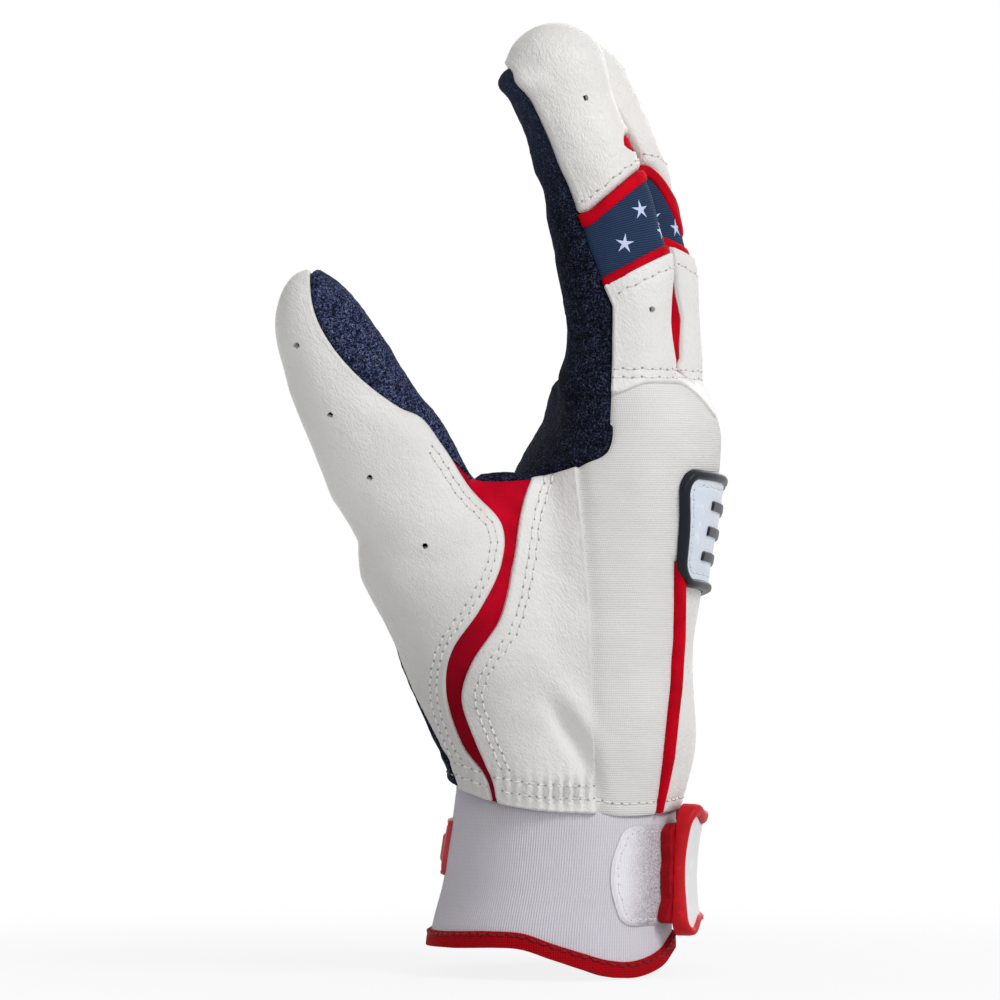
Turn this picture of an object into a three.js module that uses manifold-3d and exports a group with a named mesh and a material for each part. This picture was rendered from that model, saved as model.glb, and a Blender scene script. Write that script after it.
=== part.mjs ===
// A right-hand batting glove, standing as on a hand: fingers up, palm to -X, back of the hand to +X,
// thumb side to -Y. The origin is the centre of the wrist opening. All sizes are in millimetres.

import * as THREE from 'three';
import { mergeVertices } from 'three/addons/utils/BufferGeometryUtils.js';
import Module from 'manifold-3d';

const wasm = await Module();
wasm.setup();

// Driving dimensions

const WALL = 2.0; // leather or stretch fabric with its lining
const SEAM = 0.3; // gap along every seam
const TRIM_PROUD = 0.6; // height of a bound trim over the leather beside it
const FAR = 120; // reach of a cutter past the glove
const FACET_TOLERANCE = 0.07; // facets closer than this to one plane are joined

const HEM_Z = 33; // lower edge of the leather, over the cuff
const HEM_LINE = [[-34, 41.5], [-25, 38.8], [-13.4, 34.9], [-1, 33.1], [10, 32.5], [17, 31.9], [36, 33]];
const CROTCH_Z = 138; // bottom of the slits between the fingers
const HAND_SIDES = 26;
const HAND_ROUNDNESS = 2.25;
const BELOW_HEM = 30; // height at which the seam lines are carried past the hem
const SIDE_REACH = 40; // half the width of the cuff's cutters, past its sides
const TUBE_ROUNDNESS = 2.1; // of fingers, thumb and web

// Sections of the hand from the hem to the finger roots: how far each reaches to the palm, the back,
// the thumb side and the little-finger side, and where its crest lies.
const HAND_SECTIONS = [
  { z: 20, palm: -24.5, back: 29.5, radial: -32, ulnar: 32, crest: -4 },
  { z: 33, palm: -24.5, back: 31.0, radial: -33, ulnar: 33, crest: -4 },
  { z: 50, palm: -22, back: 34.6, radial: -36, ulnar: 37, crest: -6 },
  { z: 70, palm: -19, back: 33.8, radial: -38.5, ulnar: 40.5, crest: -7 },
  { z: 90, palm: -16.5, back: 37.2, radial: -40.5, ulnar: 43.5, crest: -9 },
  { z: 105, palm: -13, back: 39, radial: -42, ulnar: 45, crest: -10 },
  { z: 117, palm: -8.5, back: 40.4, radial: -42, ulnar: 45.5, crest: -10 },
  { z: 127, palm: -2.5, back: 39.8, radial: -41.5, ulnar: 45, crest: -9 },
  { z: 135, palm: -0.5, back: 35.4, radial: -40.5, ulnar: 43.5, crest: -8 },
  { z: 141, palm: 5, back: 30, radial: -36, ulnar: 39, crest: -8 },
];

// Each finger: its place along the row, half its width and thickness, and points of its centre line
// from the root past the middle joint, where the knee is, to the tip.
const FINGER_SIDES = 14;
const FINGER_RINGS = 8;
const FINGERS = [
  {
    name: 'index', y: -30.5, halfWidth: 10.6, halfBase: 13.6, halfTip: 11.9,
    line: [[15.2, 118], [15.4, 145], [13.1, 169], [7.9, 186], [1.8, 203], [-2, 222.5]], knee: 0.47,
  },
  {
    name: 'middle', y: -8.3, halfWidth: 10.6, halfBase: 13.4, halfTip: 11.3,
    line: [[22.4, 118], [22.2, 147], [19.2, 171], [14.4, 187], [8.2, 203], [2, 219.5]], knee: 0.49,
  },
  {
    name: 'ring', y: 13.7, halfWidth: 10.2, halfBase: 13.0, halfTip: 11.3,
    line: [[21.4, 118], [20.8, 142], [17.8, 165], [14, 179], [9, 194], [3.6, 212.5]], knee: 0.47,
  },
  {
    name: 'little', y: 34.6, halfWidth: 9.4, halfBase: 11.8, halfTip: 10.2,
    line: [[18, 112], [18, 136], [16.2, 153], [14, 164], [11, 176], [7.8, 190.5]], knee: 0.48,
  },
];

const FLEX_PALM = 9.9; // half the length of the bending crease on the palm side of a finger
const SPLIT_AT_ROOT = -0.14; // where the palm leather meets the back of a finger, as a share of its half
const SPLIT_AT_KNEE = -0.42; // thickness from the centre line, at the root, at the knee and near the tip
const SPLIT_AT_TIP = -0.8;
const INSERT_LOW = [-9.6, -6.0]; // lower edge of the lower trim along the finger: mid side, back
const INSERT_HIGH = [7.6, 15.4]; // upper edge of the upper trim
const TRIM_WIDTH = 2.9;

// The thumb's centre line from the wrist to the tip with half its width seen from the side and half
// its depth.
const THUMB_SIDES = 16;
const THUMB_SECTIONS = [
  { x: -5, y: -16, z: 34, half: 17, depth: 14 },
  { x: -12, y: -22, z: 50, half: 15.8, depth: 14.5 },
  { x: -19.5, y: -29.5, z: 68, half: 15.6, depth: 14.5 },
  { x: -23, y: -33.2, z: 77.5, half: 15.4, depth: 14.4 },
  { x: -26.5, y: -37, z: 87, half: 16.7, depth: 14.2 },
  { x: -29.9, y: -40.3, z: 95.5, half: 17.5, depth: 13.8 },
  { x: -33.2, y: -43.5, z: 104, half: 16, depth: 13.4 },
  { x: -39.8, y: -48.5, z: 116.2, half: 16.1, depth: 12.7 },
  { x: -44.6, y: -52, z: 125.6, half: 13.8, depth: 12 },
  { x: -51.4, y: -54.5, z: 139, half: 12.7, depth: 11.2 },
  { x: -56.9, y: -55.5, z: 150, half: 10.8, depth: 10.5 },
  { x: -60.2, y: -56, z: 162, half: 10, depth: 10 },
];
const THUMB_DOME = 0.086; // share of the thumb that its rounded end takes
const THUMB_KNEE = [-48.2, 132]; // middle joint of the thumb, x and z
const THUMB_AXIS = [-0.46, 0.888]; // direction of the thumb there
const THUMB_FLEX = 9; // half the length of its bending crease
const THUMB_REACH = 24; // half the width of a cut across it

// The web between the thumb and the index finger.
const WEB_SECTIONS = [
  { x: -4, y: -20, z: 45, half: 14, depth: 14 },
  { x: -9, y: -26, z: 72, half: 14, depth: 13.5 },
  { x: -13, y: -30, z: 94, half: 14, depth: 12 },
  { x: -16.4, y: -33.5, z: 105, half: 14.5, depth: 9 },
  { x: -18.2, y: -35.5, z: 113.6, half: 14, depth: 6 },
];
const WEB_DOME = 0.08;

// Seams seen from the thumb side, as x and z, from the top down.
const GUSSET_LEFT = [
  [-26.9, 120.2], [-20.4, 110.4], [-13.2, 102.2], [-13, 93.1], [-18.2, 82.1],
  [-25, 71.8], [-26.4, 62.4], [-22.3, 48.7], [-16.6, 40.6], [-14.6, 30],
];
const GUSSET_RIGHT = [
  [-5.8, 113.5], [-8.4, 105.1], [-10.1, 93.1], [-13.4, 79.4],
  [-20.2, 69.1], [-22.6, 60.7], [-19.2, 49.9], [-15.1, 39.8], [-13.2, 30],
];
const GUSSET_Y = -14; // how far the gusset, the side leather and the piping run round the hand
const SIDE_LEATHER_Y = -12;
const PIPING_Y = -10;
const LITTLE_SIDE_Y = 10;
const SIDE_SEAM = [[5, 116.5], [6.7, 99.8], [8.4, 79], [8.9, 60.7], [10.1, 30]];
const PIPING_LEFT = [[28.2, 93], [28.2, 78], [27.1, 60.7], [25.6, 45.1], [24, 30]];
const PIPING_WIDTH = 2.5;
const THUMB_PATCH_EDGE = [
  [-58.5, 166], [-58, 156], [-56.4, 150.2], [-53, 144.2], [-48, 138.2], [-43.2, 133.9],
  [-37.2, 129.6], [-32.4, 127.4], [-26.9, 120.5],
];
const PALM_LOW_EDGE = [
  [-26.9, 120.5], [-19.6, 113.4], [-12.7, 112.8], [-1.2, 114.2], [5.8, 116.4], [12.2, 120],
];

// The palm leather meets the thumb leather along this line, as y and z.
const THUMB_BACK_EDGE = [
  [-24, 30], [-30, 50], [-35, 70], [-39, 87], [-45.5, 104], [-51, 117], [-54, 130], [-54, 175],
];

const ULNAR_PALM_X = -2; // seam between the palm and the leather on the little-finger side

// Beside the web the thumb leather comes further round: low and high corners in x and z, and its y.
const WEB_LEATHER = { low: [-34, 80], high: [-5, 124], y: -36 };
const THUMB_PATCH = { low: -32, high: 20, near: -30, far: 17, y: -18 }; // about the thumb's knee
const PALM_CORNER = [[ULNAR_PALM_X, 112], [12.4, 119.5], [12.4, 124]]; // palm leather below the finger roots
const FOURCHETTE_REACH = 2.6; // how far a fourchette runs over the fingers on either side

const KNUCKLE_EDGE_Z = 132; // mean height of the knuckle leather's scalloped lower edge
const KNUCKLE_SCALLOP = 4;
const KNUCKLE_PITCH = 21.7; // from one scallop to the next
const SCALLOP_STEPS = 30;
const KNUCKLE_HALF = 54; // half the length of that edge, past both sides of the hand
const KNUCKLE_FALL = { y: 24, slope: 0.3 }; // it falls towards the little finger
const ULNAR_SEAM_X = 12; // seam between the back and the little-finger side leather
const ULNAR_PIPING_TOP_Y = 20;
const ULNAR_PIPING_HEM_Y = 17;
const CENTRE_PANEL_TOP_Z = 93;

// The badge on the back of the hand: a moulded rim round a raised field with plain bars.
const BADGE = {
  y: -7, z: 99.4, width: 57, height: 28, corner: 6.5, slope: -0.075, rim: 2.7, proud: 2.3, field: 1.5, x: 10,
};
const BADGE_BARS = { count: 3, width: 2.4, pitch: 6, length: 30, proud: 0.6 };

// The cuff, its bound edge, the patch and the strap.
const CUFF_WALL = 2.6;
const CUFF_SIDES = 32;
const CUFF_SECTIONS = [
  { z: -14, palm: -31.4, back: 29, radial: -36, ulnar: 36, crest: -3 },
  { z: 3, palm: -30.2, back: 28.6, radial: -35, ulnar: 35, crest: -3 },
  { z: 17, palm: -26.8, back: 28.9, radial: -33.4, ulnar: 33.4, crest: -3 },
  { z: HEM_Z + 10, palm: -24.2, back: 30.1, radial: -32, ulnar: 32, crest: -3 },
];
const BINDING_HEIGHT = 3.9;
const BINDING_PROUD = 0.9;
const RIM_STEP = 5;
const RIM = { z: 0.3, dip: 7.3, x: 15.5, width: 14.5 }; // the wrist opening's edge dips behind the thumb
const LOOP_PATCH = { x: 13.2, low: 5.4, high: 29.4, thick: 1.0, bulge: 5 };
const STRAP = { low: 1.9, high: 34.9, endY: -20.5, thick: 2.6, frame: 3.3, side: 4.6, face: 1.7, corner: 5 };
const STRAP_TAPER = { high: 2.6, low: 3.4, length: 10 }; // the moulded end is broader than the rest
const STRAP_BOW = { middle: 18.4, half: 16, rise: 1.9 }; // its upper and lower edges stand off the cuff
const STRAP_LEVELS = [-2, 4, 11, 18.4, 26, 33, 40];
const STRAP_HINGE_Y = 29; // where the strap bends, just past its moulded frame
const STRAP_HINGE_ROOM = 1.6; // from the hinge to the frame
const STRAP_ANCHOR_ROOM = 2.4; // from the hinge to the sewn end
const STRAP_BEND_THICK = 1.0;
const HOOK_THICK = 1.0;
const HOOK_WIDTH = 16;
const HOOK_CORNER = 2;
const STRAP_ANCHOR_X = 4; // how far round the little-finger side the sewn end reaches
const WRIST_LABEL = { low: 17.5, high: 31.2, halfWidth: 14, y: 1, thick: 1.0 };

const COLOURS = {
  white: { color: 0xe6e4e0, roughness: 0.62 },
  tip: { color: 0xdedcd8, roughness: 0.6 },
  navy: { color: 0x1a2038, roughness: 0.7 },
  flex: { color: 0x223650, roughness: 0.8 },
  red: { color: 0xb8041f, roughness: 0.65 },
  fabric: { color: 0xf0eff0, roughness: 0.85 },
  rim: { color: 0x222836, roughness: 0.3 },
  field: { color: 0xd8e0ed, roughness: 0.45 },
};

// Solids and meshes

function toSolid(geometry) {
  geometry.deleteAttribute('normal');
  geometry.deleteAttribute('uv');
  const merged = mergeVertices(geometry, 1e-5);
  const vertProperties = new Float32Array(merged.attributes.position.array);
  const triVerts = new Uint32Array(merged.index.array);
  return new wasm.Manifold(new wasm.Mesh({ numProp: 3, vertProperties, triVerts }));
}

// The largest body of a solid, without the slivers that a cut along a facet can leave.
function largest(solid) {
  const pieces = solid.simplify(FACET_TOLERANCE).decompose();
  return pieces.reduce((best, piece) => (piece.volume() > best.volume() ? piece : best));
}

function toMesh(name, solid, finish) {
  const data = largest(solid).getMesh();
  const geometry = new THREE.BufferGeometry();
  geometry.setAttribute('position', new THREE.BufferAttribute(new Float32Array(data.vertProperties), 3));
  geometry.setIndex(new THREE.BufferAttribute(new Uint32Array(data.triVerts), 1));
  geometry.computeVertexNormals();
  const material = new THREE.MeshStandardMaterial({ ...COLOURS[finish], metalness: 0 });
  const mesh = new THREE.Mesh(geometry, material);
  mesh.name = name;
  return mesh;
}

// Rings and lofts

function roundPoint(angle, roundness) {
  const c = Math.cos(angle);
  const s = Math.sin(angle);
  const power = 2 / roundness;
  return [Math.sign(c) * Math.abs(c) ** power, Math.sign(s) * Math.abs(s) ** power];
}

function loft(rings) {
  const sides = rings[0].length;
  const points = rings.flat();
  const last = (rings.length - 1) * sides;
  const centres = [rings[0], rings[rings.length - 1]].map((ring) => {
    const sum = ring.reduce((total, point) => total.add(point), new THREE.Vector3());
    return sum.divideScalar(sides);
  });
  const index = [];
  for (let r = 0; r < rings.length - 1; r += 1) {
    for (let i = 0; i < sides; i += 1) {
      const a = r * sides + i;
      const b = r * sides + ((i + 1) % sides);
      index.push(a, b, b + sides, a, b + sides, a + sides);
    }
  }
  for (let i = 0; i < sides; i += 1) {
    const next = (i + 1) % sides;
    index.push(points.length, next, i);
    index.push(points.length + 1, last + i, last + next);
  }
  const geometry = new THREE.BufferGeometry();
  geometry.setFromPoints([...points, ...centres]);
  geometry.setIndex(index);
  return toSolid(geometry);
}

function handRing(section, grow, sides) {
  const centre = (section.palm + section.back) / 2;
  const ring = [];
  for (let i = 0; i < sides; i += 1) {
    const [u, v] = roundPoint((2 * Math.PI * i) / sides, HAND_ROUNDNESS);
    const halfX = (section.back - section.palm) / 2 + grow;
    const halfY = (v > 0 ? section.ulnar - section.crest : section.crest - section.radial) + grow;
    ring.push(new THREE.Vector3(centre + u * halfX, section.crest + v * halfY, section.z));
  }
  return ring;
}

function stackLoft(sections, grow, sides) {
  const top = sections.length - 1;
  const grown = sections.map((section, i) => (i === top ? { ...section, z: section.z + grow } : section));
  return loft(grown.map((section) => handRing(section, grow, sides)));
}

function tubeRing(centre, tangent, half, depth, sides) {
  const across = new THREE.Vector3(tangent.z, 0, -tangent.x).normalize();
  const ring = [];
  for (let i = 0; i < sides; i += 1) {
    const [u, v] = roundPoint((2 * Math.PI * i) / sides, TUBE_ROUNDNESS);
    const point = centre.clone().addScaledVector(across, u * half);
    point.y += v * depth;
    ring.push(point);
  }
  return ring;
}

// A tube through a centre line whose far end closes in a dome. The first ring is left open-ended and flat.
function domedTube(curve, size, grow, sides, steps, domeShare) {
  const length = curve.getLength();
  const rings = [];
  for (let i = 0; i < steps; i += 1) {
    const t = (i / (steps - 1)) * (1 - domeShare);
    const { half, depth } = size(t);
    rings.push(tubeRing(curve.getPointAt(t), curve.getTangentAt(t), half + grow, depth + grow, sides));
  }
  const domeLength = domeShare * length;
  const DOME_RINGS = 4;
  for (let i = 1; i <= DOME_RINGS; i += 1) {
    const turn = (i / DOME_RINGS) * (Math.PI / 2) * 0.93;
    const reach = Math.sin(turn) * (domeLength + grow);
    const t = Math.min(1, 1 - domeShare + Math.max(0, Math.min(reach, domeLength)) / length);
    const { half, depth } = size(1 - domeShare);
    const spill = Math.max(0, reach - domeLength);
    const centre = curve.getPointAt(t).addScaledVector(curve.getTangentAt(t), spill);
    const scale = Math.cos(turn);
    rings.push(tubeRing(centre, curve.getTangentAt(t), (half + grow) * scale, (depth + grow) * scale, sides));
  }
  return loft(rings);
}

function curveThrough(points) {
  return new THREE.CatmullRomCurve3(points, false, 'centripetal');
}

// Cutters

function outlineShape(points) {
  return new THREE.Shape(points.map(([a, b]) => new THREE.Vector2(a, b)));
}

// An outline in x and z, drawn out along y.
function prismY(points, yLow, yHigh) {
  const options = { depth: yHigh - yLow, bevelEnabled: false };
  const geometry = new THREE.ExtrudeGeometry(outlineShape(points), options);
  const turn = new THREE.Matrix4().makeBasis(
    new THREE.Vector3(1, 0, 0), new THREE.Vector3(0, 0, 1), new THREE.Vector3(0, -1, 0),
  );
  geometry.applyMatrix4(turn);
  geometry.translate(0, yHigh, 0);
  return toSolid(geometry);
}

// An outline in y and z, drawn out along x.
function prismX(points, xLow, xHigh) {
  const options = { depth: xHigh - xLow, bevelEnabled: false };
  const geometry = new THREE.ExtrudeGeometry(outlineShape(points), options);
  const turn = new THREE.Matrix4().makeBasis(
    new THREE.Vector3(0, 1, 0), new THREE.Vector3(0, 0, 1), new THREE.Vector3(1, 0, 0),
  );
  geometry.applyMatrix4(turn);
  geometry.translate(xLow, 0, 0);
  return toSolid(geometry);
}

function box(low, high) {
  const geometry = new THREE.BoxGeometry(high[0] - low[0], high[1] - low[1], high[2] - low[2]);
  geometry.translate((low[0] + high[0]) / 2, (low[1] + high[1]) / 2, (low[2] + high[2]) / 2);
  return toSolid(geometry);
}

function smooth(points, steps) {
  const curve = new THREE.SplineCurve(points.map(([a, b]) => new THREE.Vector2(a, b)));
  return curve.getPoints(steps).map((point) => [point.x, point.y]);
}

// Moves every side of an outline outward by a distance.
function widen(points, distance) {
  const turnsLeft = THREE.ShapeUtils.area(points.map(([a, b]) => new THREE.Vector2(a, b))) > 0 ? 1 : -1;
  return points.map((point, i) => {
    const before = points[(i + points.length - 1) % points.length];
    const after = points[(i + 1) % points.length];
    const d1 = new THREE.Vector2(point[0] - before[0], point[1] - before[1]).normalize();
    const d2 = new THREE.Vector2(after[0] - point[0], after[1] - point[1]).normalize();
    const n1 = new THREE.Vector2(d1.y, -d1.x);
    const n2 = new THREE.Vector2(d2.y, -d2.x);
    const sum = n1.clone().add(n2);
    const scale = (turnsLeft * distance * 2) / Math.max(0.5, sum.lengthSq());
    return [point[0] + sum.x * scale, point[1] + sum.y * scale];
  });
}

// The bodies of the glove

function fingerCurve(finger) {
  return curveThrough(finger.line.map(([x, z]) => new THREE.Vector3(x, finger.y, z)));
}

function fingerSize(finger) {
  return (t) => {
    const share = Math.min(1, t / 0.8);
    return { half: finger.halfBase + (finger.halfTip - finger.halfBase) * share, depth: finger.halfWidth };
  };
}

function fingerTube(finger, grow) {
  const curve = fingerCurve(finger);
  return domedTube(curve, fingerSize(finger), grow, FINGER_SIDES, FINGER_RINGS, finger.halfTip / curve.getLength());
}

function interpolate(sections, t, key) {
  const place = t * (sections.length - 1);
  const i = Math.min(sections.length - 2, Math.floor(place));
  return THREE.MathUtils.lerp(sections[i][key], sections[i + 1][key], place - i);
}

function sectionTube(sections, grow, sides, dome) {
  const curve = curveThrough(sections.map(({ x, y, z }) => new THREE.Vector3(x, y, z)));
  const size = (share) => {
    const t = curve.getUtoTmapping(share);
    return { half: interpolate(sections, t, 'half'), depth: interpolate(sections, t, 'depth') };
  };
  return domedTube(curve, size, grow, sides, sections.length + 2, dome);
}

function gloveBody(grow) {
  const solids = [
    stackLoft(HAND_SECTIONS, grow, HAND_SIDES),
    sectionTube(THUMB_SECTIONS, grow, THUMB_SIDES, THUMB_DOME),
    sectionTube(WEB_SECTIONS, grow, THUMB_SIDES, WEB_DOME),
    ...FINGERS.map((finger) => fingerTube(finger, grow)),
  ];
  return solids.reduce((sum, solid) => sum.add(solid));
}

// Places and directions on a finger: s runs along it from the knee, n towards its back.
function fingerFrame(finger) {
  const curve = fingerCurve(finger);
  const centre = curve.getPointAt(finger.knee);
  const along = curve.getTangentAt(finger.knee);
  return {
    centre,
    at: (s, n) => [centre.x + along.x * s + along.z * n, centre.z + along.z * s - along.x * n],
  };
}

function splitShare(t, knee) {
  if (t < knee) {
    return THREE.MathUtils.lerp(SPLIT_AT_ROOT, SPLIT_AT_KNEE, t / knee);
  }
  return THREE.MathUtils.lerp(SPLIT_AT_KNEE, SPLIT_AT_TIP, (t - knee) / (1 - knee));
}

// Outline in x and z of everything on the palm side of a finger's split line.
function palmSide(finger) {
  const curve = fingerCurve(finger);
  const size = fingerSize(finger);
  const edge = [];
  const STEPS = 9;
  for (let i = 0; i <= STEPS; i += 1) {
    const t = i / STEPS;
    const point = curve.getPointAt(t);
    const along = curve.getTangentAt(t);
    const n = size(t).half * splitShare(t, finger.knee);
    edge.push([point.x + along.z * n, point.z - along.x * n]);
  }
  const top = edge[edge.length - 1];
  edge.push([top[0] - 8, top[1] + 14]);
  edge.push([-FAR, top[1] + 14]);
  edge.push([-FAR, edge[0][1]]);
  return edge;
}

function fingerSlab(finger) {
  const reach = finger.halfWidth + 0.45;
  return [finger.y - reach, finger.y + reach];
}

// A band round a finger between two slanted lines, given at the mid side and at the back.
function band(finger, low, high) {
  const { at } = fingerFrame(finger);
  const line = ([side, back]) => {
    const slope = (back - side) / (finger.halfBase + 4);
    const sideN = -4;
    const place = (n) => at(side + slope * (n - sideN), n);
    return [place(-20), place(24)];
  };
  const [a, b] = line(low);
  const [c, d] = line(high);
  return prismY([a, b, d, c], ...fingerSlab(finger));
}

function shift([side, back], by) {
  return [side + by, back + by];
}

const outer = gloveBody(0);
const inner = gloveBody(-WALL);
const hemLine = [[-FAR, HEM_LINE[0][1]], ...smooth(HEM_LINE, 12), [FAR, HEM_Z]];
const upTo = prismY([...hemLine, [FAR, 3 * FAR], [-FAR, 3 * FAR]], -FAR, FAR);
const shell = outer.subtract(inner).intersect(upTo);
const meshes = [];
let rest = shell;

// Takes a region out of what is left of the shell and leaves a seam round it.
function take(name, region, cleared, finish) {
  const piece = rest.intersect(region);
  rest = rest.subtract(cleared);
  meshes.push(toMesh(name, piece, finish));
}

function takePrismY(name, points, yLow, yHigh, finish) {
  take(name, prismY(points, yLow, yHigh), prismY(widen(points, SEAM), yLow - SEAM, yHigh + SEAM), finish);
}

// Fingers past the root: tips, trims, the stretch insert and the crease

FINGERS.forEach((finger) => {
  const tube = fingerTube(finger, 0).subtract(fingerTube(finger, -WALL));
  const proudTube = fingerTube(finger, TRIM_PROUD).subtract(fingerTube(finger, -WALL));
  const palm = palmSide(finger);
  const slab = fingerSlab(finger);
  const palmPrism = prismY(palm, ...slab);
  const backOnly = (solid) => solid.subtract(prismY(widen(palm, SEAM), ...slab));
  const past = [60, 60];
  const pieceBand = (low, high) => band(finger, low, high);

  const tipLow = shift(INSERT_HIGH, SEAM);
  const upperLow = shift(INSERT_HIGH, -TRIM_WIDTH);
  const lowerHigh = shift(INSERT_LOW, TRIM_WIDTH);
  const tipBack = backOnly(tube.intersect(pieceBand(tipLow, past)));
  const tipPalm = tube.intersect(pieceBand([FLEX_PALM, FLEX_PALM], past)).intersect(palmPrism);
  const upperTrim = backOnly(proudTube.intersect(pieceBand(upperLow, INSERT_HIGH)));
  const insert = backOnly(tube.intersect(pieceBand(shift(lowerHigh, SEAM), shift(upperLow, -SEAM))));
  const lowerTrim = backOnly(proudTube.intersect(pieceBand(INSERT_LOW, lowerHigh)));
  const creaseHalf = FLEX_PALM - SEAM;
  const creaseBand = pieceBand([-creaseHalf, -creaseHalf], [creaseHalf, creaseHalf]);
  const crease = tube.intersect(creaseBand).intersect(palmPrism);

  meshes.push(toMesh(`${finger.name}_tip_leather`, tipBack, 'tip'));
  meshes.push(toMesh(`${finger.name}_tip_palm`, tipPalm, 'navy'));
  meshes.push(toMesh(`${finger.name}_upper_trim`, upperTrim, 'red'));
  meshes.push(toMesh(`${finger.name}_flex_insert`, insert, 'flex'));
  meshes.push(toMesh(`${finger.name}_lower_trim`, lowerTrim, 'red'));
  meshes.push(toMesh(`${finger.name}_palm_crease`, crease, 'navy'));

  const rootPalmCut = pieceBand([-FLEX_PALM, -FLEX_PALM], past).intersect(prismY(widen(palm, SEAM), ...slab));
  const rootBackCut = backOnly(pieceBand(shift(INSERT_LOW, -SEAM), past));
  const pastCrease = pieceBand([-FLEX_PALM, -FLEX_PALM], past);
  const seamCut = pieceBand(shift(INSERT_LOW, -SEAM), past).intersect(pastCrease);
  rest = rest.subtract(rootPalmCut).subtract(rootBackCut).subtract(seamCut);
});

// Thumb past its middle joint

function thumbPlace(s, n) {
  return [
    THUMB_KNEE[0] + THUMB_AXIS[0] * s + THUMB_AXIS[1] * n,
    THUMB_KNEE[1] + THUMB_AXIS[1] * s - THUMB_AXIS[0] * n,
  ];
}

function thumbBand(low, high) {
  const reach = THUMB_REACH;
  const corners = [
    thumbPlace(low, -reach), thumbPlace(low, reach), thumbPlace(high, reach), thumbPlace(high, -reach),
  ];
  return prismY(corners, -FAR, FAR);
}

const patchEdge = smooth(THUMB_PATCH_EDGE, 16);
const thumbLeatherSide = [...patchEdge, ...smooth(GUSSET_LEFT, 18), [-FAR, BELOW_HEM], [-FAR, THUMB_PATCH_EDGE[0][1]]];
const thumbBack = [[-FAR, 30], ...THUMB_BACK_EDGE, [-FAR, 175]];

// The thumb's outer side, grown by a distance.
function thumbOuter(grow) {
  const { low, high, y } = WEB_LEATHER;
  const besideWeb = box([low[0] - grow, -FAR, low[1] - grow], [high[0] + grow, y + grow, high[1] + grow]);
  return prismX(widen(thumbBack, grow), -FAR, FAR).add(besideWeb);
}

const leatherRegion = prismY(thumbLeatherSide, -FAR, FAR).intersect(thumbOuter(0));
const leatherCleared = prismY(widen(thumbLeatherSide, SEAM), -FAR, FAR).intersect(thumbOuter(SEAM));

const thumbTip = rest.intersect(thumbBand(THUMB_FLEX, 60));
meshes.push(toMesh('thumb_tip_leather', thumbTip.intersect(leatherRegion), 'white'));
meshes.push(toMesh('thumb_tip_patch', thumbTip.subtract(leatherCleared), 'navy'));
const thumbFold = rest.intersect(thumbBand(SEAM - THUMB_FLEX, THUMB_FLEX - SEAM));
meshes.push(toMesh('thumb_crease', thumbFold.intersect(leatherRegion), 'white'));
meshes.push(toMesh('thumb_patch_crease', thumbFold.subtract(leatherCleared), 'navy'));
rest = rest.subtract(thumbBand(-THUMB_FLEX, 60));

// Panels of the hand

take('thumb_leather', leatherRegion, leatherCleared, 'white');

const gusset = [...smooth(GUSSET_LEFT, 18), ...smooth(GUSSET_RIGHT, 16).reverse()];
takePrismY('thumb_gusset', gusset, -FAR, GUSSET_Y, 'red');

const { low: patchLow, high: patchHigh, near, far } = THUMB_PATCH;
const patchCorners = [[patchLow, near], [patchLow, far], [patchHigh, far], [patchHigh, near]];
const thumbPatch = patchCorners.map(([along, across]) => thumbPlace(along, across));
takePrismY('thumb_palm_patch', thumbPatch, -FAR, THUMB_PATCH.y, 'navy');

for (let i = 0; i < FINGERS.length - 1; i += 1) {
  const [before, after] = [FINGERS[i], FINGERS[i + 1]];
  const low = before.y + before.halfWidth - FOURCHETTE_REACH;
  const high = after.y - after.halfWidth + FOURCHETTE_REACH;
  const region = box([-FAR, low, CROTCH_Z], [FAR, high, 2 * FAR]);
  const cleared = box([-FAR, low - SEAM, CROTCH_Z - SEAM], [FAR, high + SEAM, 2 * FAR]);
  take(`${before.name}_${after.name}_fourchette`, region, cleared, 'red');
}

const sideSeam = smooth(SIDE_SEAM, 10);
const sideLeather = [
  ...smooth(PALM_LOW_EDGE, 12).filter(([x]) => x > -6 && x < 4.5),
  ...sideSeam,
  ...smooth(GUSSET_RIGHT, 16).reverse(),
];
takePrismY('side_leather', sideLeather, -FAR, SIDE_LEATHER_Y, 'white');

const scallops = [];
for (let i = 0; i <= SCALLOP_STEPS; i += 1) {
  const y = THREE.MathUtils.lerp(-KNUCKLE_HALF, KNUCKLE_HALF, i / SCALLOP_STEPS);
  const wave = Math.cos((2 * Math.PI * (y - FINGERS[1].y)) / KNUCKLE_PITCH);
  scallops.push([y, KNUCKLE_EDGE_Z + KNUCKLE_SCALLOP * wave - Math.max(0, y - KNUCKLE_FALL.y) * KNUCKLE_FALL.slope]);
}

// What lies on the palm side: each finger root by its own split line, the palm by the seams below it.
const palmRoots = FINGERS.map((finger, i) => {
  const low = i === 0 ? -FAR : (FINGERS[i - 1].y + finger.y) / 2 - SEAM;
  const high = i === FINGERS.length - 1 ? FAR : (FINGERS[i + 1].y + finger.y) / 2 + SEAM;
  return { outline: palmSide(finger), low, high };
});
const rootRegion = (grow) => palmRoots
  .map(({ outline, low, high }) => prismY(widen(outline, grow), low, high))
  .reduce((sum, solid) => sum.add(solid));
const palmBelow = [[-FAR, HEM_Z - 5], [ULNAR_PALM_X, HEM_Z - 5], ...PALM_CORNER, [-FAR, PALM_CORNER[2][1]]];
const palmRegion = rootRegion(0).add(prismY(palmBelow, -FAR, FAR));
const palmCleared = rootRegion(SEAM).add(prismY(widen(palmBelow, SEAM), -FAR, FAR));
take('palm_leather', palmRegion, palmCleared, 'navy');

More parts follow.
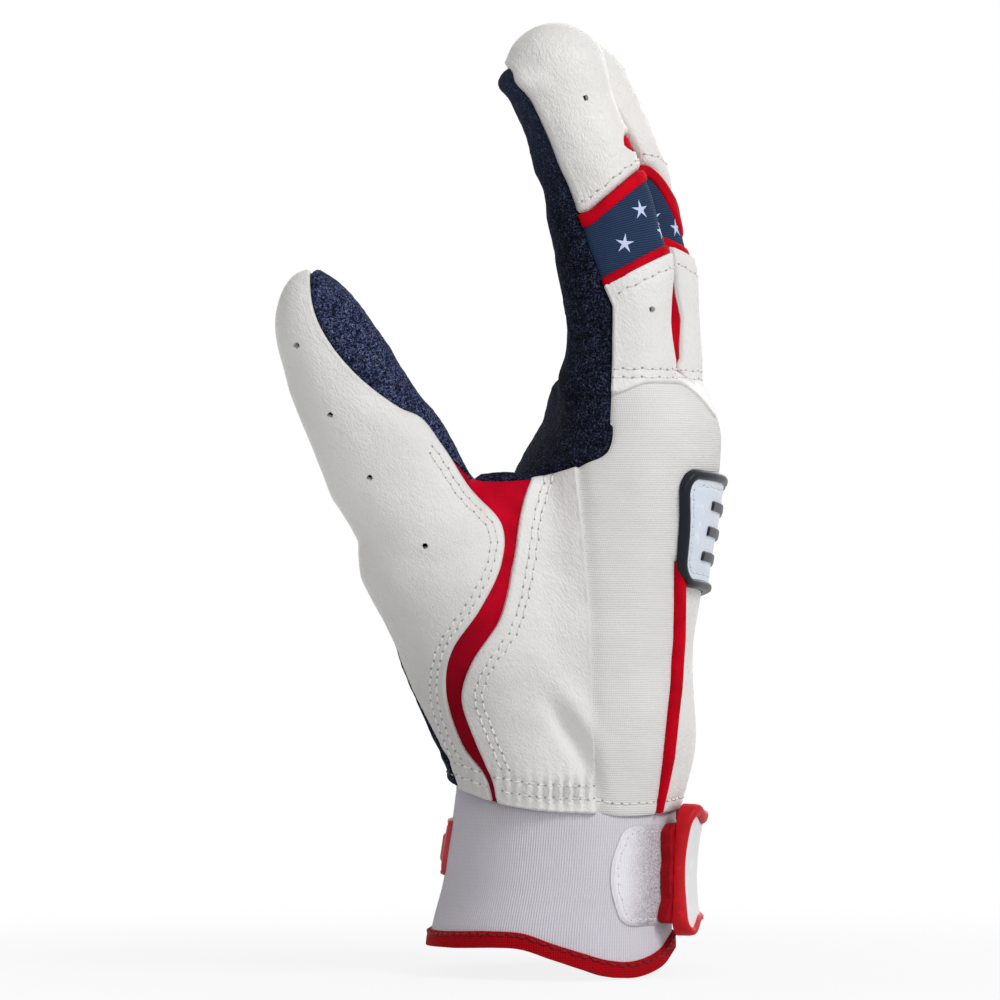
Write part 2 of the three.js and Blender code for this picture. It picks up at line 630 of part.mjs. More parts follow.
const knuckleOutline = [...scallops, [FAR, 200], [-FAR, 200]];
const knuckleCleared = prismX(widen(knuckleOutline, SEAM), -FAR, FAR);
take('knuckle_leather', prismX(knuckleOutline, -FAR, FAR), knuckleCleared, 'white');

const ulnarOutline = [[ULNAR_SEAM_X, HEM_Z - 5], [ULNAR_SEAM_X, 150], [-FAR, 150], [-FAR, HEM_Z - 5]];
takePrismY('little_side_leather', ulnarOutline, LITTLE_SIDE_Y, FAR, 'white');

const pipingLeft = smooth(PIPING_LEFT, 10);
const pipingRight = pipingLeft.map(([x, z]) => [x + PIPING_WIDTH, z]);
takePrismY('thumb_side_piping', [...pipingLeft, ...pipingRight.reverse()], -FAR, PIPING_Y, 'red');

const ulnarPiping = [
  [ULNAR_PIPING_HEM_Y, HEM_Z - 5], [ULNAR_PIPING_TOP_Y, CENTRE_PANEL_TOP_Z],
  [ULNAR_PIPING_TOP_Y + PIPING_WIDTH, CENTRE_PANEL_TOP_Z], [ULNAR_PIPING_HEM_Y + PIPING_WIDTH, HEM_Z - 5],
];
take('little_side_piping', prismX(ulnarPiping, 0, FAR), prismX(widen(ulnarPiping, SEAM), 0, FAR), 'red');

const pipingEdge = smooth(PIPING_LEFT, 10);
const centreLow = prismY([...pipingEdge, [FAR, BELOW_HEM], [FAR, CENTRE_PANEL_TOP_Z - SEAM]], -FAR, FAR);
const centreWide = prismY([...pipingEdge, [FAR, BELOW_HEM], [FAR, CENTRE_PANEL_TOP_Z]], -FAR, FAR);
const centreSide = prismX([[-FAR, 0], [ULNAR_PIPING_HEM_Y + 1, 0], [ULNAR_PIPING_TOP_Y + 1, 99], [-FAR, 99]], 0, FAR);
take('centre_back_panel', centreLow.intersect(centreSide), centreWide.intersect(centreSide), 'white');
meshes.push(toMesh('back_stretch_panel', rest, 'fabric'));

// The badge, seated over the back of the hand

function roundedBox(y, z, width, height, corner) {
  const points = [];
  const CORNER_STEPS = 4;
  [[1, 1, 0], [-1, 1, 90], [-1, -1, 180], [1, -1, 270]].forEach(([signY, signZ, start]) => {
    for (let i = 0; i <= CORNER_STEPS; i += 1) {
      const angle = THREE.MathUtils.degToRad(start + (90 * i) / CORNER_STEPS);
      points.push([
        y + signY * (width / 2 - corner) + corner * Math.cos(angle),
        z + signZ * (height / 2 - corner) + corner * Math.sin(angle),
      ]);
    }
  });
  return points;
}

function handLayer(low, high) {
  return stackLoft(HAND_SECTIONS, high, HAND_SIDES).subtract(stackLoft(HAND_SECTIONS, low, HAND_SIDES));
}

// The badge sits askew: its outline drops towards the little finger.
const askew = ([y, z]) => [y, z + BADGE.slope * (y - BADGE.y)];
const badgeOutline = roundedBox(BADGE.y, BADGE.z, BADGE.width, BADGE.height, BADGE.corner).map(askew);
const fieldOutline = roundedBox(
  BADGE.y, BADGE.z, BADGE.width - 2 * BADGE.rim, BADGE.height - 2 * BADGE.rim, BADGE.corner - BADGE.rim,
).map(askew);
const rimSolid = handLayer(SEAM, BADGE.proud).intersect(prismX(badgeOutline, BADGE.x, FAR));
meshes.push(toMesh('badge_rim', rimSolid.subtract(prismX(widen(fieldOutline, SEAM), BADGE.x, FAR)), 'rim'));
let field = handLayer(SEAM, BADGE.field).intersect(prismX(fieldOutline, BADGE.x, FAR));
const bars = handLayer(SEAM, BADGE.field + BADGE_BARS.proud);
for (let i = 0; i < BADGE_BARS.count; i += 1) {
  const z = BADGE.z + (i - (BADGE_BARS.count - 1) / 2) * BADGE_BARS.pitch;
  const half = BADGE_BARS.length / 2;
  const [low, high] = [z - BADGE_BARS.width / 2, z + BADGE_BARS.width / 2];
  const [left, right] = [BADGE.y - half, BADGE.y + half];
  const bar = [[left, low], [right, low], [right, high], [left, high]].map(askew);
  field = field.add(bars.intersect(prismX(bar, BADGE.x, FAR)));
}
meshes.push(toMesh('badge_field', field, 'field'));

// The cuff and what is sewn to it

function cuffLayer(low, high) {
  return stackLoft(CUFF_SECTIONS, high, CUFF_SIDES).subtract(stackLoft(CUFF_SECTIONS, low, CUFF_SIDES));
}

// Height of the wrist opening's edge over x: it dips behind the thumb, towards the back of the hand.
function rimHeight(x) {
  return RIM.z - RIM.dip * Math.exp(-(((x - RIM.x) / RIM.width) ** 2));
}

const rimEdge = [];
for (let x = -SIDE_REACH; x <= SIDE_REACH; x += RIM_STEP) {
  rimEdge.push([x, rimHeight(x)]);
}
const underHem = hemLine.map(([x, z]) => [THREE.MathUtils.clamp(x, -SIDE_REACH, SIDE_REACH), z - SEAM]).reverse();
const aboveRim = (lift) => [...rimEdge.map(([x, z]) => [x, z + lift]), ...underHem];
const cuffSolid = cuffLayer(-CUFF_WALL, 0);
const aboveBinding = prismY(aboveRim(BINDING_HEIGHT + SEAM), -FAR, FAR);
meshes.push(toMesh('cuff', cuffSolid.intersect(aboveBinding), 'fabric'));
const bindingOutline = [...rimEdge, ...rimEdge.map(([x, z]) => [x, z + BINDING_HEIGHT]).reverse()];
const bindingSolid = cuffLayer(-CUFF_WALL - BINDING_PROUD, BINDING_PROUD);
meshes.push(toMesh('cuff_binding', bindingSolid.intersect(prismY(bindingOutline, -FAR, FAR)), 'red'));

const patchMiddle = (LOOP_PATCH.low + LOOP_PATCH.high) / 2;
const patchOutline = [];
const PATCH_STEPS = 8;
const patchHalf = (LOOP_PATCH.high - LOOP_PATCH.low) / 2;
for (let i = 0; i <= PATCH_STEPS; i += 1) {
  const angle = Math.PI / 2 + (Math.PI * i) / PATCH_STEPS;
  const x = LOOP_PATCH.x + LOOP_PATCH.bulge * (1 + Math.cos(angle));
  patchOutline.push([x, patchMiddle + patchHalf * Math.sin(angle)]);
}
patchOutline.push([FAR, LOOP_PATCH.low], [FAR, LOOP_PATCH.high]);
const patchBand = cuffLayer(SEAM, SEAM + LOOP_PATCH.thick).intersect(prismY(patchOutline, -FAR, 0));
meshes.push(toMesh('loop_patch', patchBand, 'fabric'));

const labelOutline = roundedBox(
  WRIST_LABEL.y, (WRIST_LABEL.low + WRIST_LABEL.high) / 2, 2 * WRIST_LABEL.halfWidth,
  WRIST_LABEL.high - WRIST_LABEL.low, 2,
);
const labelLayer = cuffLayer(SEAM, SEAM + WRIST_LABEL.thick);
meshes.push(toMesh('wrist_label', labelLayer.intersect(prismX(labelOutline, -FAR, 0)), 'red'));

// The closing strap over the back of the wrist

const strapEnd = STRAP_HINGE_Y - STRAP_HINGE_ROOM;
const strapMiddle = (STRAP.low + STRAP.high) / 2;

// The strap's outline in y and z, brought in by one distance at its ends and another above and below.
function strapShape(end, side) {
  const [left, right] = [STRAP.endY + end, strapEnd - end];
  const [low, high] = [STRAP.low + side, STRAP.high - side];
  const [taperLow, taperHigh] = [low + STRAP_TAPER.low, high - STRAP_TAPER.high];
  const points = [[right, taperLow], [right, taperHigh], [left + STRAP_TAPER.length, taperHigh]];
  const corner = STRAP.corner - end / 2;
  const CORNER_STEPS = 4;
  [[high - corner, 90], [low + corner, 180]].forEach(([z, start]) => {
    for (let i = 0; i <= CORNER_STEPS; i += 1) {
      const angle = THREE.MathUtils.degToRad(start + (90 * i) / CORNER_STEPS);
      points.push([left + corner + corner * Math.cos(angle), z + corner * Math.sin(angle)]);
    }
  });
  points.push([left + STRAP_TAPER.length, taperLow]);
  return points;
}

// The cuff's section at a height, moved out by the strap's bow.
function bowedSection(z) {
  const above = CUFF_SECTIONS.findIndex((section) => section.z > z);
  const [from, to] = [CUFF_SECTIONS[above - 1], CUFF_SECTIONS[above]];
  const at = (key) => THREE.MathUtils.mapLinear(z, from.z, to.z, from[key], to[key]);
  const out = STRAP_BOW.rise * ((z - STRAP_BOW.middle) / STRAP_BOW.half) ** 2;
  const sides = { radial: at('radial') - out, ulnar: at('ulnar') + out };
  return { z, palm: at('palm') - out, back: at('back') + out, crest: at('crest'), ...sides };
}

const strapSections = STRAP_LEVELS.map(bowedSection);

function strapLayer(low, high) {
  return stackLoft(strapSections, high, CUFF_SIDES).subtract(stackLoft(strapSections, low, CUFF_SIDES));
}

const hookLow = SEAM + LOOP_PATCH.thick + SEAM;
const strapLow = hookLow + HOOK_THICK + SEAM;
const faceOutline = strapShape(STRAP.frame, STRAP.side);
const frameLayer = strapLayer(strapLow, strapLow + STRAP.thick).intersect(prismX(strapShape(0, 0), 0, FAR));
meshes.push(toMesh('strap_frame', frameLayer.subtract(prismX(widen(faceOutline, SEAM), 0, FAR)), 'red'));
const faceLayer = strapLayer(strapLow, strapLow + STRAP.face).intersect(prismX(faceOutline, 0, FAR));
meshes.push(toMesh('strap_face', faceLayer, 'fabric'));
const hookHeight = STRAP.high - STRAP.low - 2 * (STRAP.side + STRAP_TAPER.low / 2);
const hookMiddle = STRAP.endY + STRAP.frame + HOOK_WIDTH / 2;
const hookOutline = roundedBox(hookMiddle, strapMiddle, HOOK_WIDTH, hookHeight, HOOK_CORNER);
const hookLayer = cuffLayer(hookLow, strapLow - SEAM);
meshes.push(toMesh('strap_hook_patch', hookLayer.intersect(prismX(hookOutline, 0, FAR)), 'fabric'));

const bandLow = STRAP.low + STRAP_TAPER.low + STRAP.side / 2;
const bandHigh = STRAP.high - STRAP_TAPER.high - STRAP.side / 2;
const anchorStart = STRAP_HINGE_Y + STRAP_ANCHOR_ROOM;
const bendMiddle = strapLow + STRAP.thick / 2;
const bendLayer = cuffLayer(bendMiddle - STRAP_BEND_THICK / 2, bendMiddle + STRAP_BEND_THICK / 2);
const bendOutline = [
  [strapEnd + SEAM, bandLow],
  [anchorStart - SEAM, bandLow],
  [anchorStart - SEAM, bandHigh],
  [strapEnd + SEAM, bandHigh],
];
meshes.push(toMesh('strap_bend', bendLayer.intersect(prismX(bendOutline, 0, FAR)), 'fabric'));
const anchorOutline = [[anchorStart, bandLow], [FAR, bandLow], [FAR, bandHigh], [anchorStart, bandHigh]];
const anchorThick = bendMiddle + STRAP_BEND_THICK / 2;
const anchorLayer = cuffLayer(SEAM, anchorThick).intersect(prismX(anchorOutline, STRAP_ANCHOR_X, FAR));
meshes.push(toMesh('strap_anchor', anchorLayer, 'fabric'));

const glove = new THREE.Group();
glove.add(...meshes);

export default glove;
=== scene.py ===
"""A right-hand batting glove on a pale floor: palm to -X, back of the hand to +X, thumb side to the camera.

Sizes are in millimetres here and become metres where a mesh is made. The glove's skin is one smooth
surface sampled on a lattice. Each panel is cut out of it along its seams, given its own thickness and
edge, and sewn with threads that follow the seams.
"""

import math

import bpy
import numpy as np
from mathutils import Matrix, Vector
from mathutils.bvhtree import BVHTree


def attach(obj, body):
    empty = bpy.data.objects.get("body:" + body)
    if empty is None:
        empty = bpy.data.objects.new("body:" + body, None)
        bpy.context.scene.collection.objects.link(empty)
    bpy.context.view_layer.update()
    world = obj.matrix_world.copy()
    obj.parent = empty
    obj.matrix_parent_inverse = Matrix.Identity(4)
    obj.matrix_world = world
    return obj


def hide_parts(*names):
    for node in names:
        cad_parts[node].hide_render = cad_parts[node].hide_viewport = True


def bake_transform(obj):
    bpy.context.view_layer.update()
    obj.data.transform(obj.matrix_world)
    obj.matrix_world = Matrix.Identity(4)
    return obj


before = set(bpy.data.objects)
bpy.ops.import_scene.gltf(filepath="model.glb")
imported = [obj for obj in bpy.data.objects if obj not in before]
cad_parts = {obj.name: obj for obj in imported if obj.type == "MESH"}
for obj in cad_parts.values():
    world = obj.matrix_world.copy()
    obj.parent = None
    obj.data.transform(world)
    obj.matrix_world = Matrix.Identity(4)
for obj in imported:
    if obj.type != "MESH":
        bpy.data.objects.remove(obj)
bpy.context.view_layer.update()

# The hand's sections: z, the reach to the palm, back, thumb side and little-finger side, and the crest
HAND_SECTIONS = [
    (20, -24.5, 29.5, -32, 32, -4),
    (33, -24.5, 31, -33, 33, -4),
    (50, -22, 34.6, -36, 37, -6),
    (70, -19, 33.6, -38.5, 40.5, -7),
    (90, -16.5, 36.3, -40.5, 43.5, -9),
    (105, -13, 39, -42, 45, -10),
    (117, -8.5, 40.4, -42, 45.5, -10),
    (127, -2.5, 39.9, -41.5, 45, -9),
    (135, -0.5, 35.4, -40.5, 43.5, -8),
    (141, 5, 30, -36, 39, -8),
]
HAND_ROUNDNESS = 2.25
HAND_TOP = 133  # the hand closes over its last 12 mm
HAND_TOP_LENGTH = 12
HEM_LINE = [
    (-34, 41.5), (-30, 40.5), (-25, 38.8), (-19, 36.6), (-13.4, 34.9),
    (-1, 33.1), (10, 32.5), (17, 31.8), (24, 32.1), (36, 33),
]  # the glove's lower edge, as x and z
CROTCH_Z = 141
SLIT_HALF = 0.75

# Each finger: y, half width, half thickness at root and tip, centre line in x and z, the knee's share of it
FINGERS = {
    "index": (
        -30.5, 10.6, 13.6, 11.9,
        [(15.2, 118), (15.4, 145), (13.1, 169), (7.9, 186), (1.8, 203), (-2, 222.5)], 0.47,
    ),
    "middle": (
        -8.3, 10.6, 13.4, 11.3,
        [(22.4, 118), (22.4, 147), (19.6, 171), (15.4, 187), (9.2, 203), (0.9, 219.2)], 0.49,
    ),
    "ring": (
        13.7, 10.2, 13, 11.3,
        [(21.4, 118), (20.8, 142), (17.8, 165), (14, 179), (9, 194), (3.6, 212.5)], 0.47,
    ),
    "little": (
        34.6, 9.4, 11.8, 10.2,
        [(18, 112), (18, 136), (16.2, 153), (14, 164), (11, 176), (7.8, 190.5)], 0.48,
    ),
}
TUBE_ROUNDNESS = 2.1
# The palm leather's edge along a finger, as shares of its length and of its half thickness
SPLIT = [
    (0, -0.22), (0.27, -0.16), (0.34, -0.12), (0.39, -0.26), (0.49, -0.41), (0.58, -0.48), (0.67, -0.56),
    (0.74, -0.58), (0.8, -0.62), (0.84, -0.68), (0.9, -0.85), (0.925, -1.02), (0.94, -1.3),
]
# The half thickness of the index finger along its length
INDEX_HALF = [
    (0, 13.4), (0.2, 13.1), (0.3, 12.2), (0.38, 12.7), (0.46, 13.6), (0.55, 12.9), (0.64, 12.2), (1, 11.9),
]
# The pads of the index finger's palm side: height, width and rise
INDEX_PADS = [(195, 8, -1.5), (182, 4, -1.1), (208, 2.8, 1.9)]
# Outer edges of the trims along the finger: at the mid side, the slope and curve to the back, the drop there
USUAL_LOWER_EDGE = (-9.3, 0.31, 0, 0)
LOWER_EDGE = dict.fromkeys(FINGERS, USUAL_LOWER_EDGE) | {"middle": (-0.5, 0.3, -0.04, 0)}
UPPER_EDGE = {
    "index": (9.9, 0.56, 0, 0), "middle": (12.7, 1.5, -0.085, 0.09),
    "ring": (9, 0.5, 0, 0), "little": (8, 0.45, 0, 0),
}
TRIM_WIDTH = 2.9
STRIP_LOW = -13.0  # where a finger's palm leather is parted from the palm
BEND_LOW = -11.0  # the finger bends between these places along it
BEND_HIGH = 13.0

# The thumb and the web, from the wrist up: x, y, z, half width seen from the side, half depth
THUMB_SECTIONS = [
    (-5.6, -16, 34, 18.6, 14),
    (-12, -22, 50, 15.8, 14.5),
    (-19.5, -29.5, 68, 15.6, 14.5),
    (-23, -33.2, 77.5, 15.4, 14.4),
    (-26.5, -37, 87, 16.7, 14.2),
    (-29.9, -40.3, 95.5, 17.5, 13.8),
    (-32.8, -43.5, 104, 15, 13.4),
    (-39.3, -48.5, 116.2, 15.5, 12.7),
    (-44.6, -52, 125.6, 13.8, 12),
    (-51.1, -54.5, 139, 12.6, 11.2),
    (-56.3, -55.5, 150, 10.2, 10.4),
    (-59.8, -56, 162, 8.5, 9.2),
]
WEB_SECTIONS = [
    (-4, -20, 45, 14, 14), (-9, -26, 72, 14, 13.5), (-13, -30, 94, 14, 12),
    (-16.4, -33.5, 105, 14.5, 9), (-18.2, -35.5, 113.6, 14, 6),
]
THUMB_KNEE = (-48.2, 132)
THUMB_AXIS = (-0.46, 0.888)
THUMB_Y = -54
THUMB_BEND = 10.0  # half the length over which the thumb bends

# Seams seen from the thumb side, as x and z, from the top down
GUSSET_LEFT = [
    (-26.9, 120.2), (-20.4, 110.4), (-13.2, 102.2), (-13, 93.1), (-18.2, 82.1),
    (-25, 71.8), (-26.4, 62.4), (-22.3, 48.7), (-16.6, 40.6), (-14.6, 30),
]
GUSSET_RIGHT = [
    (-5.8, 113.5), (-8.4, 105.1), (-10.1, 93.1), (-13.4, 79.4),
    (-20.2, 69.1), (-22.6, 60.7), (-19.2, 49.9), (-15.1, 39.8), (-13.2, 30),
]
SIDE_SEAM = [(5, 116.5), (6.7, 99.8), (8.4, 79), (8.9, 60.7), (10.1, 30)]
SIDE_FOLD = [(-6, 63), (0, 56), (6, 48), (9.5, 40)]
PIPING_LEFT = [(29.0, 93), (29.0, 78), (27.9, 60.7), (26.3, 45.1), (24.2, 30)]
PIPING_WIDTH = 2.0
PIPING_TAPER = ((32, 37.4, 46), (0.7, 1.2, PIPING_WIDTH))  # the thumb side's width, by z
THUMB_PATCH_EDGE = [
    (-58.5, 166), (-58, 156), (-56.4, 150.2), (-53, 144.2), (-48, 138.2), (-43.2, 133.9),
    (-37.2, 129.6), (-32.4, 127.4), (-26.9, 120.5),
]
PALM_LOW_EDGE = [(-26.9, 120.5), (-19.6, 113.4), (-12.7, 112.8), (-1.2, 114.2), (5.8, 116.4), (12.2, 120)]
ULNAR_PALM_SEAM = [(-2, 20), (-2, 112), (5.8, 116.4), (12.4, 120), (12.4, 140)]
THUMB_BACK_EDGE = [
    (-24, 30), (-30, 50), (-35, 70), (-39, 87), (-45.5, 104), (-51, 117), (-54, 130), (-54, 175),
]
KNUCKLE_EDGE_Z = 132
KNUCKLE_SCALLOP = 4
SCALLOP_PITCH = 21.7
INDEX_EDGE_Y = -19.2  # past this the knuckle leather's edge belongs to the index finger
PALM_TOP_Z = 126
ULNAR_SEAM_X = 12
ULNAR_PIPING_Y = (17, 20)  # at the hem and at the top
CENTRE_PANEL_TOP_Z = 93
LITTLE_SIDE_TOP_Z = 150
# Half widths of the red strips in the slits, by z
LEANING_STRIP = ((137.2, 139, 142, 146, 152, 158), (-3.2, 0.6, 2.2, 2.3, 2.8, 2.3))
UPRIGHT_STRIP = ((136.5, 144, 150), (0.1, 2.6, 3.3))
THUMB_PATCH_LENGTH = 32  # from the thumb's knuckle towards the wrist
THUMB_PATCH_HEIGHT = 17  # from the thumb's axis towards the back of the hand
PALM_LOW_Z = 116  # the finger roots' palm leather begins here on the little-finger side
ROOT_X = -25  # a finger's root lies past these
ROOT_Z = 125
# The panels of the thumb side lie below these y, and the little-finger side's panel above its own
PIPING_Y = -10
SIDE_Y = -12
GUSSET_Y = -14
THUMB_PATCH_Y = -18
LITTLE_SIDE_Y = 10
# Stitch rows, as distances from an edge
HEM_ROW = 3.0
LEATHER_HEM_ROWS = (3.4, 6.4)
LITTLE_SIDE_HEM_ROW = 6.2
THUMB_ROWS = (1.9, 3.4)
SIDE_ROWS = (3.1, 4.8)
ROWS_OVER_HEM = 7  # the rows beside the gusset stop this far over the hem
THUMB_ROWS_TOP_Z = 121.5
KNUCKLE_ROWS_Z = (137.3, 139.4)
KNUCKLE_ROW = 3.1

# Punched vents: they go through what lies below this y, at these x and z
THUMB_VENTS = (-20, [(-61, 144.5), (-53.3, 128.2), (-44.2, 113.3), (-31.2, 97.2)])
INDEX_VENTS = (-30.5, [(7, 204.2)])
KNUCKLE_VENTS = (-34, [(22.6, 153.6)])
VENT_RADIUS = 0.78

PITCH = 0.9  # lattice step of the skin
LATTICE_LOW = np.array([-76.0, -72.0, 26.0])
STITCH = 2.35  # from one needle hole to the next
THREAD = 0.23  # radius of the thread
GAP = 0.1
UNDERLAP = 1.3
GUSSET_LEVEL = -0.45  # outer faces of the red panels, over the skin
FOURCHETTE_LEVEL = -0.15
FAR = 50.0  # past every seam
FLOOR_Z = -7.5
MM = 0.001
rng = np.random.default_rng(5)
CORNERS = [np.array([corner & 1, corner >> 1 & 1, corner >> 2 & 1]) for corner in range(8)]


# Curves and fields

def between(t, low, high, a, b):
    """From a at t = low to b at t = high."""
    return (high - t) / (high - low) * a + (t - low) / (high - low) * b


def spline(points, per=14):
    """A centripetal Catmull-Rom curve through points."""
    p = np.array(points, float)
    p = np.vstack([2 * p[0] - p[1], p, 2 * p[-1] - p[-2]])
    parts = []
    for a, b, c, d in zip(p, p[1:], p[2:], p[3:]):
        t1 = np.linalg.norm(b - a) ** 0.5
        t2 = t1 + np.linalg.norm(c - b) ** 0.5
        t3 = t2 + np.linalg.norm(d - c) ** 0.5
        t = np.linspace(t1, t2, per, endpoint=False)[:, None]
        bc = between(t, t1, t2, b, c)
        abc = between(t, 0, t2, between(t, 0, t1, a, b), bc)
        bcd = between(t, t1, t3, bc, between(t, t2, t3, c, d))
        parts.append(between(t, t1, t2, abc, bcd))
    return np.vstack([*parts, p[-2:-1]])


def lengths(points):
    """Length along a line at each of its points."""
    return np.concatenate([[0], np.cumsum(np.linalg.norm(np.diff(points, axis=0), axis=1))])


def follow(line, s, at):
    """Rows of a line at given lengths along it."""
    return np.stack([np.interp(at, s, line[:, k]) for k in range(line.shape[1])], axis=-1)


def resample(points, count):
    s = lengths(points)
    return follow(points, s, np.linspace(0, s[-1], count))


def unit(rows, spare=0.0):
    return rows / (np.linalg.norm(rows, axis=-1, keepdims=True) + spare)


def signed(line, a, b):
    """Distance from points (a, b) to a line: positive right of a line that runs down."""
    p = spline(line) if len(line) > 2 else np.array(line, float)
    best = np.full(a.shape, 1e9)
    value = np.zeros(a.shape)
    last = len(p) - 2
    for i, (q, r) in enumerate(zip(p[:-1], p[1:])):
        d = r - q
        x, y = a - q[0], b - q[1]
        t = np.clip((x * d[0] + y * d[1]) / np.hypot(*d) ** 2, -1e6 if i == 0 else 0, 1e6 if i == last else 1)
        distance = np.hypot(x - t * d[0], y - t * d[1])
        near = distance < best
        best = np.where(near, distance, best)
        value = np.where(near, np.where(d[0] * y - d[1] * x >= 0, distance, -distance), value)
    return value


def smooth_step(t):
    t = np.clip(t, 0, 1)
    return t * t * (3 - 2 * t)


def bell(x, width):
    return np.exp(-((x / width) ** 2))


def read_table(table, i, share):
    """A table's values at cells i, blended between each cell's corners."""
    total = 0
    for corner in CORNERS:
        j = (i + corner) % table.shape
        total = total + np.prod(np.where(corner, share, 1 - share), axis=1) * table[j[:, 0], j[:, 1], j[:, 2]]
    return total


def noise(p, scale, seed):
    """Smooth value noise from -1 to 1 at points p, with blobs about scale millimetres wide."""
    table = np.random.default_rng(seed).random((32, 32, 32)) * 2 - 1
    q = p / scale + 100.5
    i = np.floor(q).astype(int)
    return read_table(table, i, smooth_step(q - i))


def join(a, b, k):
    """Smooth union of two fields."""
    h = np.clip(k - np.abs(a - b), 0, None) / k
    return np.minimum(a, b) - h * h * k / 4


def straight(x, z, origin, along):
    """Places along a direction seen from the thumb side and across it, from an origin."""
    dx, dz = x - origin[0], z - origin[1]
    return dx * along[0] + dz * along[1], dx * along[1] - dz * along[0]


def bend_ends(knee, along, y, low, high):
    """The places that a bend starts and ends at, in metres."""
    start, end = ((knee[0] + along[0] * s, y, knee[1] + along[1] * s) for s in (low, high))
    return {"start": tuple(c * MM for c in start), "end": tuple(c * MM for c in end)}


class Tube:
    """A tube along a line whose sections lie across the line seen from the thumb side."""

    def __init__(self, points, half, depth, dome):
        self.line = resample(spline(points), 170)
        self.flat = self.line[:, [0, 2]]
        self.s = lengths(self.flat)
        self.tangent = unit(np.gradient(self.flat, self.s, axis=0))
        share = np.linspace(0, 1, len(self.line))
        self.half, self.depth, self.dome = half(share), depth(share), dome

    def place(self, x, z):
        """Distance along the tube and across it, for points seen from the thumb side."""
        shape = np.shape(x)
        x, z = np.ravel(x), np.ravel(z)
        best = np.empty(len(x), int)
        for c in range(0, len(x), 20000):
            part = slice(c, c + 20000)
            d = (x[part, None] - self.flat[:, 0]) ** 2 + (z[part, None] - self.flat[:, 1]) ** 2
            best[part] = d.argmin(axis=1)
        s, n = straight(x, z, self.flat[best].T, self.tangent[best].T)
        return (self.s[best] + s).reshape(shape), n.reshape(shape)

    def sizes(self, s):
        return [np.interp(s, self.s, row) for row in (self.half, self.depth, self.line[:, 1])]

    def field(self, xs, ys, zs):
        s, n = self.place(*np.meshgrid(xs, zs, indexing="ij"))
        half, depth, centre = self.sizes(s)
        past = np.clip((s - self.s[-1] + self.dome) / self.dome, 0, None)
        before = np.clip(-s / self.half[0], 0, None)
        across = np.abs(n / half) ** TUBE_ROUNDNESS + past**TUBE_ROUNDNESS + before**TUBE_ROUNDNESS
        square = n**2 + (past * self.dome) ** 2 + (before * self.half[0]) ** 2
        y = ys[None, :, None] - centre[:, None, :]
        q = (across[:, None, :] + np.abs(y / depth[:, None, :]) ** TUBE_ROUNDNESS) ** (1 / TUBE_ROUNDNESS)
        r = np.sqrt(square[:, None, :] + y**2)
        return (r - r / np.maximum(q, 1e-3)).astype(np.float32)


def section_tube(sections, dome_share):
    rows = np.array(sections, float)
    steps = lengths(spline(rows[:, :3]))[::14]
    steps /= steps[-1]
    half, depth = (lambda t, k=k: np.interp(t, steps, rows[:, k]) for k in (3, 4))
    tube = Tube(rows[:, :3], half, depth, 1)
    tube.dome = lengths(tube.line)[-1] * dome_share
    return tube


class Finger(Tube):
    def __init__(self, name, y, half_width, half_base, half_tip, line, knee):
        def half(t):
            if name == "index":
                return np.interp(t, *zip(*INDEX_HALF))
            return half_base + (half_tip - half_base) * np.minimum(1, t / 0.8)

        dome = half_tip * (1.0 if name == "index" else 1.25)
        super().__init__([(x, y, z) for x, z in line], half, lambda t: np.full_like(t, half_width), dome)
        self.name, self.y, self.half_width = name, y, half_width
        at = int(round(knee * (len(self.line) - 1)))
        self.knee, self.along = self.flat[at], self.tangent[at]

    def knee_place(self, x, z):
        """Places along the finger from its knee and towards its back, in the knee's own straight frame."""
        return straight(x, z, self.knee, self.along)

    def palm_field(self, x, z):
        """Positive on the palm side of the finger's split line."""
        s, n = self.place(x, z)
        return self.sizes(s)[0] * np.interp(s / self.s[-1], *zip(*SPLIT)) - n

    def band_field(self, x, z, edge, shift=0.0):
        """Positive past a slanted or bowed line round the finger."""
        s, n = self.knee_place(x, z)
        start, slope, curve, drop = edge
        n = np.clip(n + 4, 0, 18)
        past = np.clip(n - 8, 0, None)
        rise = slope + 2 * curve * n - 2 * drop * past
        return (s - start - shift - slope * n - curve * n**2 + drop * past**2) / np.hypot(1, rise)

    def bend(self, obj, slot, *nodes):
        """Hides the CAD's nodes and bakes the object's transform; the ends of a bend over the knee are worked
        out but not used.
        """
        if nodes:
            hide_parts(*nodes)
        ends = bend_ends(self.knee, self.along, self.y, BEND_LOW, BEND_HIGH)
        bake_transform(obj)


def reaches(table, z):
    """A section's reach to the palm, the back, the thumb side and the little-finger side, and its crest."""
    return [np.interp(z, table[:, 0], table[:, k]) for k in range(1, 6)]


section = spline(HAND_SECTIONS)


def hand_field(xs, ys, zs):
    palm, back, radial, ulnar, crest = (row[None, None, :] for row in reaches(section, zs))
    x = xs[:, None, None] - (palm + back) / 2
    y = ys[None, :, None] - crest
    top = np.clip((zs - HAND_TOP) / HAND_TOP_LENGTH, 0, None)[None, None, :]
    half_x = (back - palm) / 2
    half_y = np.where(y > 0, ulnar - crest, crest - radial)
    power = HAND_ROUNDNESS
    q = (np.abs(x / half_x) ** power + np.abs(y / half_y) ** power + top**power) ** (1 / power)
    r = np.sqrt(x**2 + y**2 + (top * HAND_TOP_LENGTH) ** 2)
    return (r - r / np.maximum(q, 1e-3)).astype(np.float32)


# The skin as a mesh

def lattice(low, high):
    """Lattice places between two corners, on one lattice for all the skins."""
    first = np.floor((np.array(low) - LATTICE_LOW) / PITCH)
    last = np.ceil((np.array(high) - LATTICE_LOW) / PITCH)
    return [LATTICE_LOW[k] + PITCH * np.arange(first[k], last[k] + 1) for k in range(3)]


def sample(field, origin, p):
    q = np.clip((p - origin) / PITCH, 0, np.array(field.shape) - 1.001)
    i = q.astype(int)
    return read_table(field, i, q - i)


